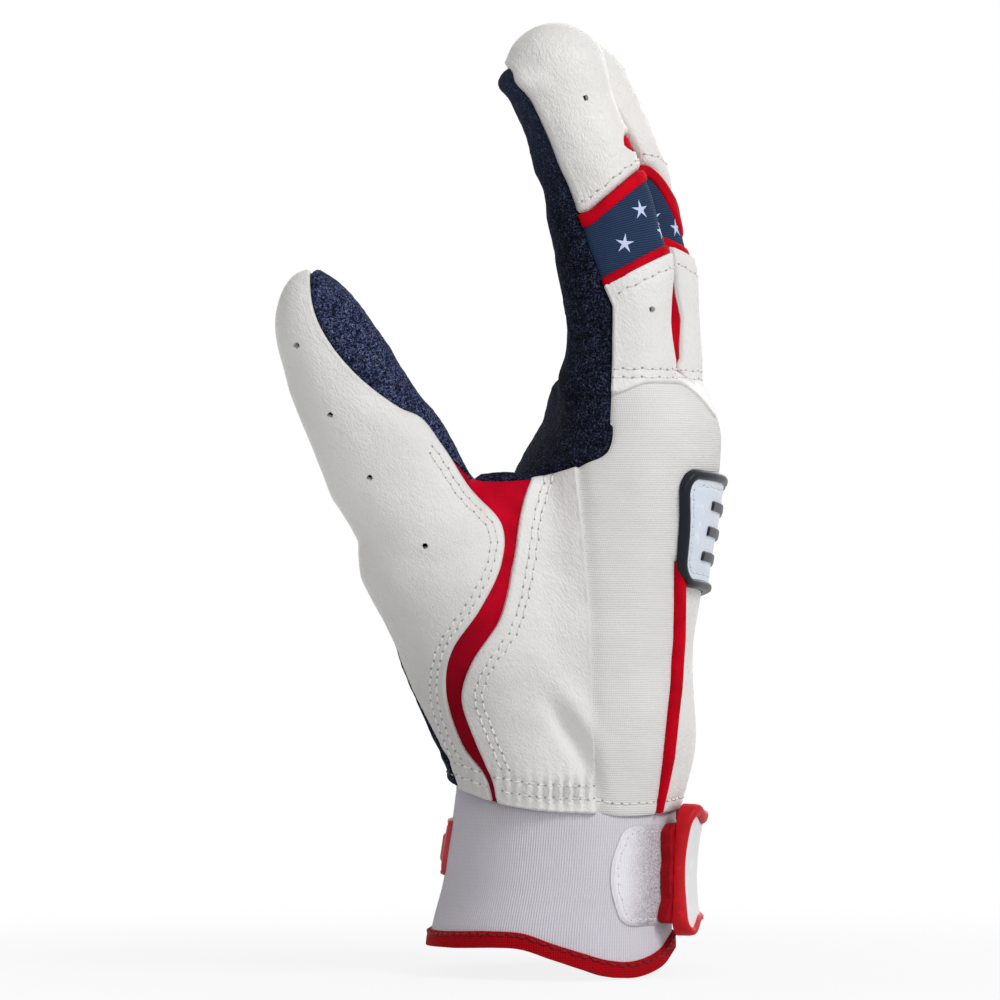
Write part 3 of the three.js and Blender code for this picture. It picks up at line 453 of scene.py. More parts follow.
def gradient(field, origin, p, step=0.6):
    rows = [sample(field, origin, p + d) - sample(field, origin, p - d) for d in np.eye(3) * step]
    return np.stack(rows, axis=1) / (2 * step)


def halves(quads):
    """Two triangles for each quad."""
    return np.vstack([quads[:, [0, 1, 2]], quads[:, [0, 2, 3]]])


def surface(field, axes):
    """Points, normals and triangles of a sampled field's zero surface, by dual contouring."""
    origin = np.array([a[0] for a in axes])
    inside = field < 0
    shape = np.array(field.shape) - 1
    count = np.zeros(shape, np.int8)
    for i, j, k in CORNERS:
        count += inside[i : shape[0] + i, j : shape[1] + j, k : shape[2] + k]
    active = (count > 0) & (count < 8)
    cells = np.argwhere(active)
    number = np.full(shape, -1)
    number[active] = np.arange(len(cells))
    total = np.zeros((len(cells), 3))
    hits = np.zeros(len(cells))
    quads = []
    for axis in range(3):
        o1, o2 = (axis + 1) % 3, (axis + 2) % 3
        for da, db in ((0, 0), (0, 1), (1, 0), (1, 1)):
            start = cells.copy()
            start[:, o1] += da
            start[:, o2] += db
            end = start.copy()
            end[:, axis] += 1
            a, b = field[tuple(start.T)], field[tuple(end.T)]
            crossed = (a < 0) != (b < 0)
            place = start[crossed].astype(float)
            place[:, axis] += a[crossed] / (a[crossed] - b[crossed])
            total[crossed] += place
            hits[crossed] += 1
        lined = np.moveaxis(inside, axis, 0)
        edges = np.argwhere(np.moveaxis(lined[:-1] != lined[1:], 0, axis))
        within = (edges > 0) & (edges < shape)
        edges = edges[within[:, o1] & within[:, o2]]
        corners = []
        for d1, d2 in ((-1, -1), (0, -1), (0, 0), (-1, 0)):
            cell = edges.copy()
            cell[:, o1] += d1
            cell[:, o2] += d2
            corners.append(number[tuple(cell.T)])
        quad = np.stack(corners, axis=1)
        outward = inside[tuple(edges.T)]
        quad[~outward] = quad[~outward][:, ::-1]
        quads.append(quad)
    points = origin + PITCH * total / hits[:, None]
    tri = halves(np.vstack(quads))
    edges = np.unique(np.sort(np.vstack([tri[:, [0, 1]], tri[:, [1, 2]], tri[:, [2, 0]]]), axis=1), axis=0)
    degree = np.bincount(edges.ravel(), minlength=len(points))
    for _ in range(4):
        mean = np.zeros_like(points)
        for k in range(3):
            mean[:, k] += np.bincount(edges[:, 0], points[edges[:, 1], k], len(points))
            mean[:, k] += np.bincount(edges[:, 1], points[edges[:, 0], k], len(points))
        points = points + 0.5 * (mean / degree[:, None] - points)
        slope = gradient(field, origin, points)
        value = sample(field, origin, points)
        points -= (value / np.maximum((slope**2).sum(axis=1), 0.2))[:, None] * slope
    return points, unit(gradient(field, origin, points, 0.9)), tri


class Skin:
    """A smooth triangle mesh that panels are cut from, with each point's place in the weave."""

    def __init__(self, points, normals, tri):
        self.p, self.n, self.tri = points, normals, tri
        self.weave = None


# Cutting

def divide(data, tri, g):
    """Splits triangles along g = 0. Gives the points, triangles, each one's side, and the new edges."""
    g = np.where(np.abs(g) < 1e-4, 1e-4, g)
    sides = g[tri] > 0
    inside = sides.sum(axis=1)
    whole = (inside == 0) | (inside == 3)
    mixed, mixed_sides = tri[~whole], sides[~whole]
    lone = np.where(inside[~whole] == 1, mixed_sides.argmax(axis=1), mixed_sides.argmin(axis=1))
    rows = np.arange(len(mixed))
    a, b, c = (mixed[rows, (lone + k) % 3] for k in range(3))
    pairs = np.sort(np.vstack([np.stack([a, b], axis=1), np.stack([a, c], axis=1)]), axis=1)
    unique, back = np.unique(pairs, axis=0, return_inverse=True)
    low, high = unique.T
    t = (g[low] / (g[low] - g[high]))[:, None]
    new_data = np.vstack([data, data[low] * (1 - t) + data[high] * t])
    ab, ac = back.reshape(2, -1) + len(data)
    split = [np.stack(corners, axis=1) for corners in ((a, ab, ac), (ab, b, c), (ab, c, ac))]
    new_tri = np.vstack([tri[whole], *split])
    lone_side = mixed_sides[rows, lone]
    new_side = np.concatenate([inside[whole] == 3, lone_side, ~lone_side, ~lone_side])
    return new_data, new_tri, new_side, np.stack([ab, ac], axis=1)


def compact(data, tri):
    used = np.unique(tri)
    number = np.full(len(data), -1)
    number[used] = np.arange(len(used))
    return data[used], number[tri]


def chains(edges):
    """Runs of points along a set of edges."""
    near = {}
    for a, b in edges[edges[:, 0] != edges[:, 1]].tolist():
        near.setdefault(a, []).append(b)
        near.setdefault(b, []).append(a)
    seen = set()
    runs = []
    for start in [k for k, v in near.items() if len(v) == 1] + list(near):
        run = []
        steps = [] if start in seen else [start]
        while steps:
            run.append(steps[0])
            seen.add(steps[0])
            steps = [k for k in near[run[-1]] if k not in seen]
        if len(run) > 3 and run[0] in near[run[-1]]:
            run.append(run[0])
        if len(run) > 4:
            runs.append(run)
    return runs


# Profiles: a panel's height over the skin by the distance d from its edge

def overlay(d):
    """Raw-cut leather that lies over its neighbour."""
    return 0.45 + 0.16 * bell(d - 0.45, 0.35) - 0.3 * bell(d, 0.3)


def turned(d):
    """Leather turned in at a seam, puffed beside it."""
    return 0.3 + 0.25 * bell(d - 1.8, 1.2) - 1.1 * np.exp(-((d / 0.75) ** 1.3))


def cloth(d):
    return -0.1 - 0.55 * np.exp(-d / 0.8)


def level(height):
    return lambda d: height + 0 * d


def flat(height, drop=0.25, width=0.3):
    return lambda d: height - drop * bell(d, width)


def dome_rise(d, half, power):
    return np.sqrt(np.clip(1 - (1 - np.clip(d / half, 0, 1)) ** power, 0, 1))


def cord(half, height):
    return lambda d: height * dome_rise(d, half, 2) - 0.15


def rolled(low, height, half):
    return lambda d: low + (height - low) * dome_rise(d, half, 2.4)


# Meshes

def make_object(name, points, faces, materials, weave=None, material_index=None, sharp=50):
    mesh = bpy.data.meshes.new(name)
    mesh.from_pydata(np.asarray(points) * MM, [], faces)
    for material in materials:
        mesh.materials.append(material)
    if material_index is not None:
        mesh.polygons.foreach_set("material_index", np.asarray(material_index, np.int32))
    for key, values in (("rest", points), ("weave", weave)):
        if values is not None:
            layer = mesh.attributes.new(key, "FLOAT_VECTOR", "POINT")
            layer.data.foreach_set("vector", np.asarray(values, np.float32).ravel())
    mesh.shade_smooth()
    mesh.set_sharp_from_angle(angle=math.radians(sharp))
    mesh.update()
    obj = bpy.data.objects.new(name, mesh)
    bpy.context.scene.collection.objects.link(obj)
    return obj


EDGE_ROWS = (0.22, 0.6, 1.2, 2.2)
GROOVE = 0.14  # depth of the groove that a stitch row draws
EDGE, LIMIT, ROWS = 8, 9, 10  # columns of a panel's points, after the place, the normal and the weave


def panel(name, skin, seams, cuts, profile, material, rows=(), floor=-1.4, roughen=0.0, extra=None):
    """Cuts a closed piece out of a skin where all of seams and cuts are positive. Only seams shape its edge.
    rows are (field, place) for stitch rows, with a third field that is positive where the row runs.
    Gives the object and the rows' lines."""
    g = np.min([*seams, *cuts], axis=0)
    edge = np.min(seams, axis=0) if seams else np.full(len(g), FAR)
    rows = [(*row, np.full(len(g), FAR))[:3] for row in rows]
    fields = [row[0] for row in rows] + [row[2] for row in rows]
    data = np.column_stack([skin.p, skin.n, skin.weave, edge, g, *fields])
    data, tri = compact(data, skin.tri[(g[skin.tri] > 0).any(axis=1)])
    data, tri, side, _ = divide(data, tri, data[:, LIMIT])
    data, tri = compact(data, tri[side])
    for place in EDGE_ROWS:
        data, tri, _, _ = divide(data, tri, data[:, EDGE] - place)
    runs = []
    for k, (_, place, _) in enumerate(rows):
        for offset in (-0.5, 0.5, 0):
            data, tri, _, edges = divide(data, tri, data[:, ROWS + k] - place - offset)
        kept = data[:, ROWS + len(rows) + k] > 0
        runs += chains(edges[kept[edges].all(axis=1)])
    p, n, edge = data[:, :3], unit(data[:, 3:6]), data[:, EDGE]
    height = profile(np.clip(edge, 0, None))
    for k, (_, place, _) in enumerate(rows):
        within = smooth_step(data[:, ROWS + len(rows) + k] + 1)
        height = height - GROOVE * within * bell(data[:, ROWS + k] - place, 0.7)
    # The weave's third column is the distance to the edge, capped at 20 mm; leather darkens near it as seam
    # dirt and painted shade. Deep relief counts as near an edge, so pleat valleys get painted shade.
    edge_dirt_and_shade = np.clip(edge, 0, 20)
    if extra is not None:
        relief = extra(p, edge)
        height = height + relief
        edge_dirt_and_shade = np.where(relief < -0.15, np.minimum(edge_dirt_and_shade, 1.1 + 1.2 * relief), edge_dirt_and_shade)
    if roughen:
        height = height + roughen * noise(p, 1.3, 11)
    outer, inner = p + n * height[:, None], p + n * floor
    directed = np.vstack([tri[:, [0, 1]], tri[:, [1, 2]], tri[:, [2, 0]]])
    base = len(data)
    rim = directed[~np.isin(directed @ [base, 1], directed @ [1, base])]
    faces = tri.tolist() + (tri[:, ::-1] + base).tolist()
    faces += [[b, a, a + base, b + base] for a, b in rim.tolist()]
    weave = np.column_stack([data[:, 6:8], edge_dirt_and_shade])
    obj = make_object(name, np.vstack([outer, inner]), faces, [material], np.vstack([weave, weave]))
    return obj, [(outer[run], n[run]) for run in runs]


def piece(name, skin, seams, cuts, profile, material, slot, *nodes, body="hand", **more):
    """A panel that rides on one body in place of the CAD's nodes. Gives its stitch rows."""
    obj, rows = panel(name, skin, seams, cuts, profile, material, **more)
    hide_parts(*nodes)
    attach(obj, body)
    return rows


THREAD_SIDES = 6
THREAD_RINGS = 6
HOLE_SIDES = 8
ROW_MARGIN = 0.6  # from a row's end to its first needle hole
ZIGZAG = 0.14


def thread(name, lines, materials, pitch=STITCH, radius=THREAD, proud=0.08, hole=0.33):
    """Stitches along lines on a surface, each a short arched thread between two needle holes, drawn as grey
    discs of painted shade.
    """
    points, faces, index = [], [], []
    share = np.linspace(0.18, 0.84, THREAD_RINGS)
    thread_turn = 2 * math.pi * np.arange(THREAD_SIDES)[:, None] / THREAD_SIDES
    hole_turn = 2 * math.pi * np.arange(HOLE_SIDES)[:, None] / HOLE_SIDES
    for line, normals in lines:
        s = lengths(line)
        if s[-1] < 3 * pitch:
            continue
        count = int((s[-1] - 2 * ROW_MARGIN) / pitch)
        places = ROW_MARGIN + pitch * (np.arange(count + 1) + rng.uniform(-0.1, 0.1, count + 1))
        aside = rng.uniform(-0.1, 0.1, count + 1) + ZIGZAG * (-1) ** np.arange(count + 1)
        for k, here in enumerate(places):
            at = here + share * (places[min(k + 1, count)] - places[min(k, count - 1)])
            up = unit(follow(normals, s, at))
            ahead = unit(follow(line, s, here + 0.3) - follow(line, s, here - 0.3), 1e-9)
            sideways = np.cross(ahead, up[0])
            if k < count:
                drift = aside[k] * (1 - share) + aside[k + 1] * share
                lift = proud - (radius + proud) * np.abs(share * 2.5 - 1.25) ** 3
                centre = follow(line, s, at) + up * lift[:, None] + sideways * drift[:, None]
                across = np.cross(unit(np.gradient(centre, axis=0), 1e-9), up)
                first = len(points)
                for c, u, a in zip(centre, up, across):
                    points += list(c + radius * (np.cos(thread_turn) * a + np.sin(thread_turn) * u))
                for ring in range(THREAD_RINGS - 1):
                    for j in range(THREAD_SIDES):
                        a = first + ring * THREAD_SIDES + j
                        b = first + ring * THREAD_SIDES + (j + 1) % THREAD_SIDES
                        faces.append([a, a + THREAD_SIDES, b + THREAD_SIDES, b])
                faces.append(list(range(first, first + THREAD_SIDES)))
                faces.append(list(range(len(points) - 1, len(points) - THREAD_SIDES - 1, -1)))
                index += [0] * ((THREAD_RINGS - 1) * THREAD_SIDES + 2)
            # Painted shade: a grey disc at each needle hole stands for the shadow in it.
            middle = follow(line, s, here) + sideways * aside[k] + up[0] * 0.08
            size = hole * rng.uniform(0.8, 1.2)
            first = len(points)
            points.append(middle - up[0] * 0.03)
            points += list(middle + size * (0.75 * np.cos(hole_turn) * sideways + np.sin(hole_turn) * ahead))
            faces += [[first, first + 1 + (j + 1) % HOLE_SIDES, first + 1 + j] for j in range(HOLE_SIDES)]
            index += [1] * HOLE_SIDES
    return make_object(name, np.array(points), faces, materials, material_index=index, sharp=80)


def sew(name, rows, materials, **size):
    """Thread that rides on the hand."""
    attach(thread(name, rows, materials, **size), "hand")


# Finishes

def add_node(tree, kind, inputs=None, **settings):
    """Adds a node. Each input is a value or another node's output."""
    made = tree.nodes.new(kind)
    for key, value in settings.items():
        setattr(made, key, value)
    for key, value in (inputs or {}).items():
        if isinstance(value, bpy.types.NodeSocket):
            tree.links.new(value, made.inputs[key])
        else:
            made.inputs[key].default_value = value
    return made


def linear(colour):
    """Linear colour with alpha from sRGB 0 to 255."""
    rows = [c / 255 for c in colour]
    rows = [c / 12.92 if c <= 0.04045 else ((c + 0.055) / 1.055) ** 2.4 for c in rows]
    return (*rows, 1.0)


def darker(colour, share):
    return [int(c * share) for c in colour]


class Look:
    """A node material whose textures are fixed to the skin at rest."""

    def __init__(self, name, colour, roughness, specular=0.5, sheen=0.0):
        self.material = bpy.data.materials.new(name)
        self.material.use_nodes = True
        self.tree = self.material.node_tree
        self.shader = self.tree.nodes["Principled BSDF"]
        settings = {
            "Base Color": linear(colour), "Roughness": roughness, "Specular IOR Level": specular,
            "Sheen Weight": sheen, "Sheen Roughness": 0.5,
        }
        for key, value in settings.items():
            self.shader.inputs[key].default_value = value
        self.rest = self.node("ShaderNodeAttribute", attribute_name="rest").outputs["Vector"]
        weave = self.node("ShaderNodeAttribute", attribute_name="weave").outputs["Vector"]
        self.around, self.along, self.edge = self.parts(weave)
        self.normal = None

    def node(self, kind, inputs=None, **settings):
        return add_node(self.tree, kind, inputs, **settings)

    def parts(self, vector):
        return self.node("ShaderNodeSeparateXYZ", {"Vector": vector}).outputs

    def noise(self, scale, detail=2.0, rough=0.5, vector=None, distortion=0.0):
        inputs = {"Vector": vector or self.rest, "Scale": scale, "Detail": detail, "Roughness": rough}
        return self.node("ShaderNodeTexNoise", inputs | {"Distortion": distortion}).outputs["Fac"]

    def mapped(self, vector, **settings):
        return self.node("ShaderNodeMapping", {"Vector": vector, **settings}).outputs["Vector"]

    def cells(self, vector, scale, randomness=1.0, feature="F1"):
        inputs = {"Vector": vector, "Scale": scale, "Randomness": randomness}
        return self.node("ShaderNodeTexVoronoi", inputs, feature=feature).outputs["Distance"]

    def math(self, operation, a, b=0.0):
        return self.node("ShaderNodeMath", {0: a, 1: b}, operation=operation).outputs[0]

    def times(self, a, b):
        return self.math("MULTIPLY", a, b)

    def wave(self, value, period):
        """A sine from 0 to 1 along a value in millimetres."""
        sine = self.math("SINE", self.times(value, 2 * math.pi / period))
        return self.math("ADD", self.times(sine, 0.5), 0.5)

    def spread(self, value, low, high):
        inputs = {"Value": value, "From Min": low, "From Max": high}
        return self.node("ShaderNodeMapRange", inputs, interpolation_type="SMOOTHSTEP").outputs["Result"]

    def mix(self, share, a, b):
        made = self.node("ShaderNodeMix", {"Factor": share}, data_type="RGBA")
        sockets = [s for s in made.inputs if s.type == "RGBA"]
        for socket, value in zip(sockets, (a, b)):
            if isinstance(value, bpy.types.NodeSocket):
                self.tree.links.new(value, socket)
            else:
                socket.default_value = linear(value)
        return [s for s in made.outputs if s.type == "RGBA"][0]

    def drive(self, name, socket):
        self.tree.links.new(socket, self.shader.inputs[name])

    def colour(self, share, a, b):
        self.drive("Base Color", self.mix(share, a, b))

    def bump(self, height, depth):
        """Adds relief depth millimetres high."""
        inputs = {"Height": height, "Distance": depth * MM, "Strength": 1.0}
        if self.normal is not None:
            inputs["Normal"] = self.normal
        self.normal = self.node("ShaderNodeBump", inputs).outputs["Normal"]
        self.drive("Normal", self.normal)


def leather(name, colour, shade, grain=1.0, turn=0.5):
    """Grained leather soiled in blotches and flecks; painted shade low towards the palm; seam dirt and
    painted shade at edges and pleats.
    """
    look = Look(name, colour, 0.55, specular=0.3, sheen=0.05)
    vector = look.mapped(look.mapped(look.rest, Rotation=(0.3, turn, 0.2)), Scale=(1, 1, 0.4))
    x, _, z = look.parts(look.rest)
    blotch = look.spread(look.noise(0.06, 2), 0.3, 0.8)
    fleck = look.spread(look.noise(1.3, 4, 0.75), 0.6, 0.8)
    # Painted shade: the leather darkens low down and towards the palm.
    painted_shade_low_palmward = look.times(look.spread(z, 110.0, 52.0), look.spread(x, 2.0, -24.0))
    base = look.mix(look.times(blotch, 0.4), colour, shade)
    base = look.mix(look.times(fleck, 0.12), base, darker(shade, 0.82))
    base = look.mix(look.times(painted_shade_low_palmward, 0.55), base, darker(shade, 0.8))
    # Seam dirt and painted shade: darker within 0.9 mm of an edge and in pleat valleys.
    look.colour(look.times(look.spread(look.edge, 0.9, 0.0), 0.4), base, darker(shade, 0.86))
    look.drive("Roughness", look.spread(look.noise(0.7, 3), -0.5, 2.0))
    look.bump(look.noise(0.22, 3, 0.5), 0.4)
    look.bump(look.noise(1.5, 3, 0.6, vector, 0.6), 0.14 * grain)
    look.bump(look.cells(vector, 2.6, feature="SMOOTH_F1"), 0.13 * grain)
    look.bump(look.noise(4.0, 2, 0.6), 0.03)
    return look.material


def navy_palm(name, dark, light, fleck_colour, fleck_share):
    """Napped knit: rows of rounded loops with pale worn threads."""
    look = Look(name, light, 0.85, specular=0.08)
    around = look.math("ADD", look.around, look.times(look.noise(0.35, 2), 2.2))
    inputs = {"X": around, "Y": look.times(look.along, 1.3)}
    rows = look.node("ShaderNodeCombineXYZ", inputs).outputs["Vector"]
    loop = look.spread(look.cells(rows, 1.1, 0.7), 0.62, 0.18)
    fuzz = look.noise(2.2, 4, 0.8)
    fleck = look.times(look.spread(fuzz, 0.5, 0.62), look.spread(look.noise(0.5, 3, 0.7), 0.3, 0.6))
    # Paler towards the fingertips' height.
    paler_towards_tips = look.times(look.spread(look.parts(look.rest)["Z"], 172.0, 205.0), 0.15)
    base = look.mix(paler_towards_tips, look.mix(loop, dark, light), fleck_colour)
    look.colour(look.times(fleck, fleck_share), base, fleck_colour)
    look.bump(loop, 0.3)
    look.bump(fuzz, 0.3)
    return look.material


def red_stretch(name, colour, rib=0.5, wear_and_shade=0.0):
    """Red cloth, darkened towards the wrist by painted shade where it lies deep."""
    look = Look(name, colour, 0.7, specular=0.06)
    base = look.mix(look.spread(look.noise(0.15, 3), 0.3, 0.75), colour, darker(colour, 0.85))
    # Painted shade: the cloth darkens towards the wrist.
    low = look.times(look.spread(look.parts(look.rest)["Z"], 100.0, 58.0), wear_and_shade)
    look.colour(low, base, darker(colour, 0.55))
    look.bump(look.wave(look.along, rib), 0.035)
    look.bump(look.noise(2.5, 3, 0.7), 0.04)
    return look.material


def white_knit(name, colour, shade, along, balance):
    """Fine knit with its rows along apart. balance is the rows' share against the columns."""
    look = Look(name, colour, 0.85, specular=0.15)
    rows, columns = look.wave(look.along, along), look.wave(look.around, 0.62)
    tone = look.math("ADD", look.times(rows, balance), look.times(columns, 1 - balance))
    soil = look.spread(look.noise(0.06, 3), 0.4, 0.8)
    look.colour(look.times(soil, 0.3), look.mix(tone, shade, colour), shade)
    look.bump(rows, 0.1 * balance)
    look.bump(columns, 0.1 * (1 - balance))
    look.bump(look.noise(2.2, 3, 0.6), 0.04)
    return look.material


def flex_cloth(name):
    look = Look(name, (44, 62, 92), 0.75, specular=0.1)
    ribs = look.wave(look.along, 0.5)
    base = look.mix(ribs, (26, 41, 64), (52, 73, 106))
    look.colour(look.times(look.noise(0.2, 2), 0.5), base, (28, 44, 74))
    look.bump(ribs, 0.07)
    return look.material


def rubber(name, colour, roughness, specular=0.45):
    look = Look(name, colour, roughness, specular=specular)
    wear_and_shade = [min(255, int(c * 1.25 + 14)) for c in colour]
    look.colour(look.times(look.spread(look.noise(0.4, 4, 0.7), 0.5, 0.75), 0.5), colour, wear_and_shade)
    look.bump(look.noise(2.0, 4, 0.6), 0.03)
    return look.material


def woven_tape(name, colour):
    look = Look(name, colour, 0.75, specular=0.06)
    rib, cross = look.wave(look.around, 0.55), look.wave(look.along, 0.6)
    look.colour(look.times(rib, cross), darker(colour, 0.78), colour)
    look.bump(rib, 0.08)
    look.bump(cross, 0.05)
    look.bump(look.noise(1.5, 3, 0.7), 0.08)
    return look.material


WORN_LOOPS = (-33.0, -22.0)  # the loops are rough from here on towards the strap, as length round the cuff


def pile(name, colour, shade):
    """Soft loops of the closing patch."""
    look = Look(name, colour, 0.9, specular=0.1)
    loops = look.noise(2.0, 4, 0.8)
    wear_and_shade = look.spread(look.around, *WORN_LOOPS)
    look.colour(look.times(look.spread(loops, 0.35, 0.65), wear_and_shade), colour, shade)
    look.bump(look.times(loops, look.math("ADD", wear_and_shade, 0.25)), 0.5)
    look.bump(look.wave(look.around, 0.62), 0.05)
    return look.material


def plain(name, colour, roughness=0.6):
    look = Look(name, colour, roughness, specular=0.3)
    look.bump(look.noise(5.0, 2, 0.6), 0.03)
    return look.material


WHITE = leather("white_leather", (233, 232, 230), (218, 216, 213))
TIP = leather("tip_leather", (233, 231, 228), (218, 215, 211), grain=1.2, turn=0.2)
# One navy knit in two copies: the palm and finger strips' is darkened with painted shade, the thumb patch's
# is lightened with painted light.
NAVY_PAINTED_SHADE = navy_palm("navy_palm", (2, 4, 12), (25, 31, 54), (96, 106, 140), 0.65)
NAVY_PAINTED_LIGHT = navy_palm("navy_patch", (9, 13, 38), (66, 77, 120), (150, 164, 206), 0.7)
# The gusset's lower part is darkened with painted shade.
GUSSET = red_stretch("red_gusset", (200, 0, 36), wear_and_shade=0.8)
FOURCHETTE = red_stretch("red_fourchette", (206, 0, 30))
TRIM = red_stretch("red_trim", (206, 0, 28), rib=0.6)
STRETCH = white_knit("stretch_knit", (236, 235, 234), (216, 215, 213), 0.55, 0.65)
CUFF = white_knit("cuff_knit", (222, 219, 227), (200, 197, 206), 0.9, 0.1)
FLEX = flex_cloth("flex_cloth")
BINDING = woven_tape("binding_tape", (196, 8, 24))
LOOPS = pile("loop_pile", (238, 236, 244), (178, 162, 172))
HOOK_RED = rubber("hook_rubber", (150, 2, 18), 0.7, specular=0.15)
BADGE_RIM = rubber("badge_rubber", (10, 15, 30), 0.4, specular=0.25)
BADGE_FIELD = rubber("badge_field_rubber", (216, 225, 239), 0.4)
RED_RUBBER = rubber("red_rubber", (190, 2, 20), 0.55, specular=0.25)
LABEL_RUBBER = rubber("label_rubber", (186, 34, 44), 0.45)
STRAP_FACE = rubber("strap_face_rubber", (233, 233, 233), 0.5)
WEB_TAPE = woven_tape("web_tape", (226, 224, 226))
THREAD_WHITE = plain("white_thread", (232, 231, 228))
THREAD_RED = plain("red_thread", (110, 0, 14))
THREAD_NAVY = plain("navy_thread", (28, 34, 60))
# Grey and dark red discs of painted shade for the needle holes.
HOLE_SHADE_DISC = plain("needle_hole", (156, 153, 150), 0.9)
HOLE_SHADE_DISC_PALE = plain("needle_hole_pale", (176, 172, 178), 0.9)
HOLE_SHADE_DISC_RED = plain("needle_hole_red", (80, 0, 12), 0.9)
STAR = plain("star_print", (196, 208, 240), 0.7)


# The skins

thumb = section_tube(THUMB_SECTIONS, 0.095)
web = section_tube(WEB_SECTIONS, 0.08)
fingers = {name: Finger(name, *values) for name, values in FINGERS.items()}
names = list(fingers)
finger_row = list(fingers.values())
SLITS = [(a.y + a.half_width + b.y - b.half_width) / 2 for a, b in zip(finger_row, finger_row[1:])]


def palm_of_hand(axes):
    whole = join(hand_field(*axes), thumb.field(*axes), 7.0)
    return join(whole, web.field(*axes), 6.0)


def hand_skin():
    axes = lattice((-76, -72, 27), (46, 50, 186))
    roots = np.min([finger.field(*axes) for finger in finger_row], axis=0)
    field = join(palm_of_hand(axes), roots, 3.5)
    _, ys, zs = np.meshgrid([0], axes[1], axes[2], indexing="ij")
    for y in SLITS:
        slit = np.hypot(ys - y, np.clip(CROTCH_Z - zs, 0, None)) - SLIT_HALF
        field = np.maximum(field, -slit)
    return Skin(*surface(field, axes))


def finger_skin(finger):
    reach = finger.half_width + 3
    axes = lattice((-18, finger.y - reach, finger.knee[1] - 23), (44, finger.y + reach, 230))
    field = join(palm_of_hand(axes), finger.field(*axes), 3.5)
    return Skin(*surface(field, axes))


hem_curve = spline(HEM_LINE)


def hem_z(x):
    return np.interp(x, hem_curve[:, 0], hem_curve[:, 1])


def above_hem(x, z):
    return z - hem_z(x)


hand = hand_skin()
X, Y, Z = hand.p.T
palm_x, back_x, _, _, crest = reaches(section, Z)
hand.weave = np.stack([np.arctan2(Y - crest, X - (palm_x + back_x) / 2) * 36, Z], axis=1)

gusset_left = signed(GUSSET_LEFT, X, Z)
gusset_right = signed(GUSSET_RIGHT, X, Z)
side_seam = signed(SIDE_SEAM, X, Z)
palm_low = signed(PALM_LOW_EDGE, X, Z)
piping = signed(PIPING_LEFT, X, Z)
thumb_edge = signed(THUMB_PATCH_EDGE + GUSSET_LEFT[1:], X, Z)
facing = 12 * np.minimum(-hand.n[:, 1] - 0.15, hand.n[:, 0] + 0.35)
thumb_back = np.maximum(signed(THUMB_BACK_EDGE, Y, Z), facing)
hem = above_hem(X, Z)
thumb_s, thumb_n = straight(X, Z, THUMB_KNEE, THUMB_AXIS)


def vents(x, y, z, y_side, places):
    """Positive outside the vents on the thumb side."""
    outside = np.min([np.hypot(x - at_x, z - at_z) for at_x, at_z in places], axis=0) - VENT_RADIUS
    return np.where(y < y_side, np.minimum(outside, FAR), FAR)


def beside_leather(p, edge):
    """The stretch cloth dips where the side leather is sewn down on it."""
    return -0.5 * bell(signed(SIDE_SEAM, p[:, 0], p[:, 2]), 1.7) * (p[:, 1] < 0)


def gathers(p, edge):
    """Small pleats where the leather is gathered into the hem."""
    near = bell(above_hem(p[:, 0], p[:, 2]) - 5, 4.2)
    strong = 0.25 + 0.75 * bell(p[:, 0] - 3, 8) * (p[:, 1] < 0)
    wave = np.sin(p[:, 0] * 2.5 + 0.9 * noise(p, 7, 21)) * 0.5 - 0.4 * np.abs(np.sin(p[:, 0] * 1.25 + 2))
    return near * strong * wave * 1.25


# Regions of the hand. Its skin ends where each finger's own skin begins
own_finger = np.searchsorted(SLITS, Y, side="right")
root_palm = np.full(len(X), -FAR)
past_root = np.full(len(X), FAR)
strip_end = np.full(len(X), FAR)
for i, finger in enumerate(finger_row):
    mine = own_finger == i
    root_palm = np.where(mine, finger.palm_field(X, Z), root_palm)
    mine = mine & (X > ROOT_X) & (Z > ROOT_Z)
    past_root = np.where(mine, -finger.band_field(X, Z, LOWER_EDGE[finger.name], 1.0), past_root)
    strip_end = np.where(mine, STRIP_LOW - finger.knee_place(X, Z)[0], strip_end)
root_palm = np.minimum(root_palm, np.where(Y < 0, palm_low, Z - PALM_LOW_Z))
palm_body = np.minimum(signed(ULNAR_PALM_SEAM, X, Z), PALM_TOP_Z - Z)
# The knuckle leather's edge waves across the back, falls to the little finger and steps at the index finger
scallop = KNUCKLE_EDGE_Z + KNUCKLE_SCALLOP * np.cos(2 * np.pi * (Y - fingers["middle"].y) / SCALLOP_PITCH)
scallop = scallop - np.clip(Y - 24, 0, None) * 0.3
thumb_side_edge = 128 + 8 * smooth_step((INDEX_EDGE_Y - Y) / 13) - 2.8 * smooth_step((23 - X) / 10)
scallop = np.where(Y < INDEX_EDGE_Y, thumb_side_edge, scallop)


def strip_between(y, leaning):
    """The red strip in the slit at y, narrowing to a point below. The first one leans to the index finger."""
    if leaning:
        low, high = 3.3, np.interp(Z, *LEANING_STRIP)
    else:
        low = high = np.interp(Z, *UPRIGHT_STRIP)
    return np.min([Y - y + low, high - Y + y, Z - CROTCH_Z + 5], axis=0)


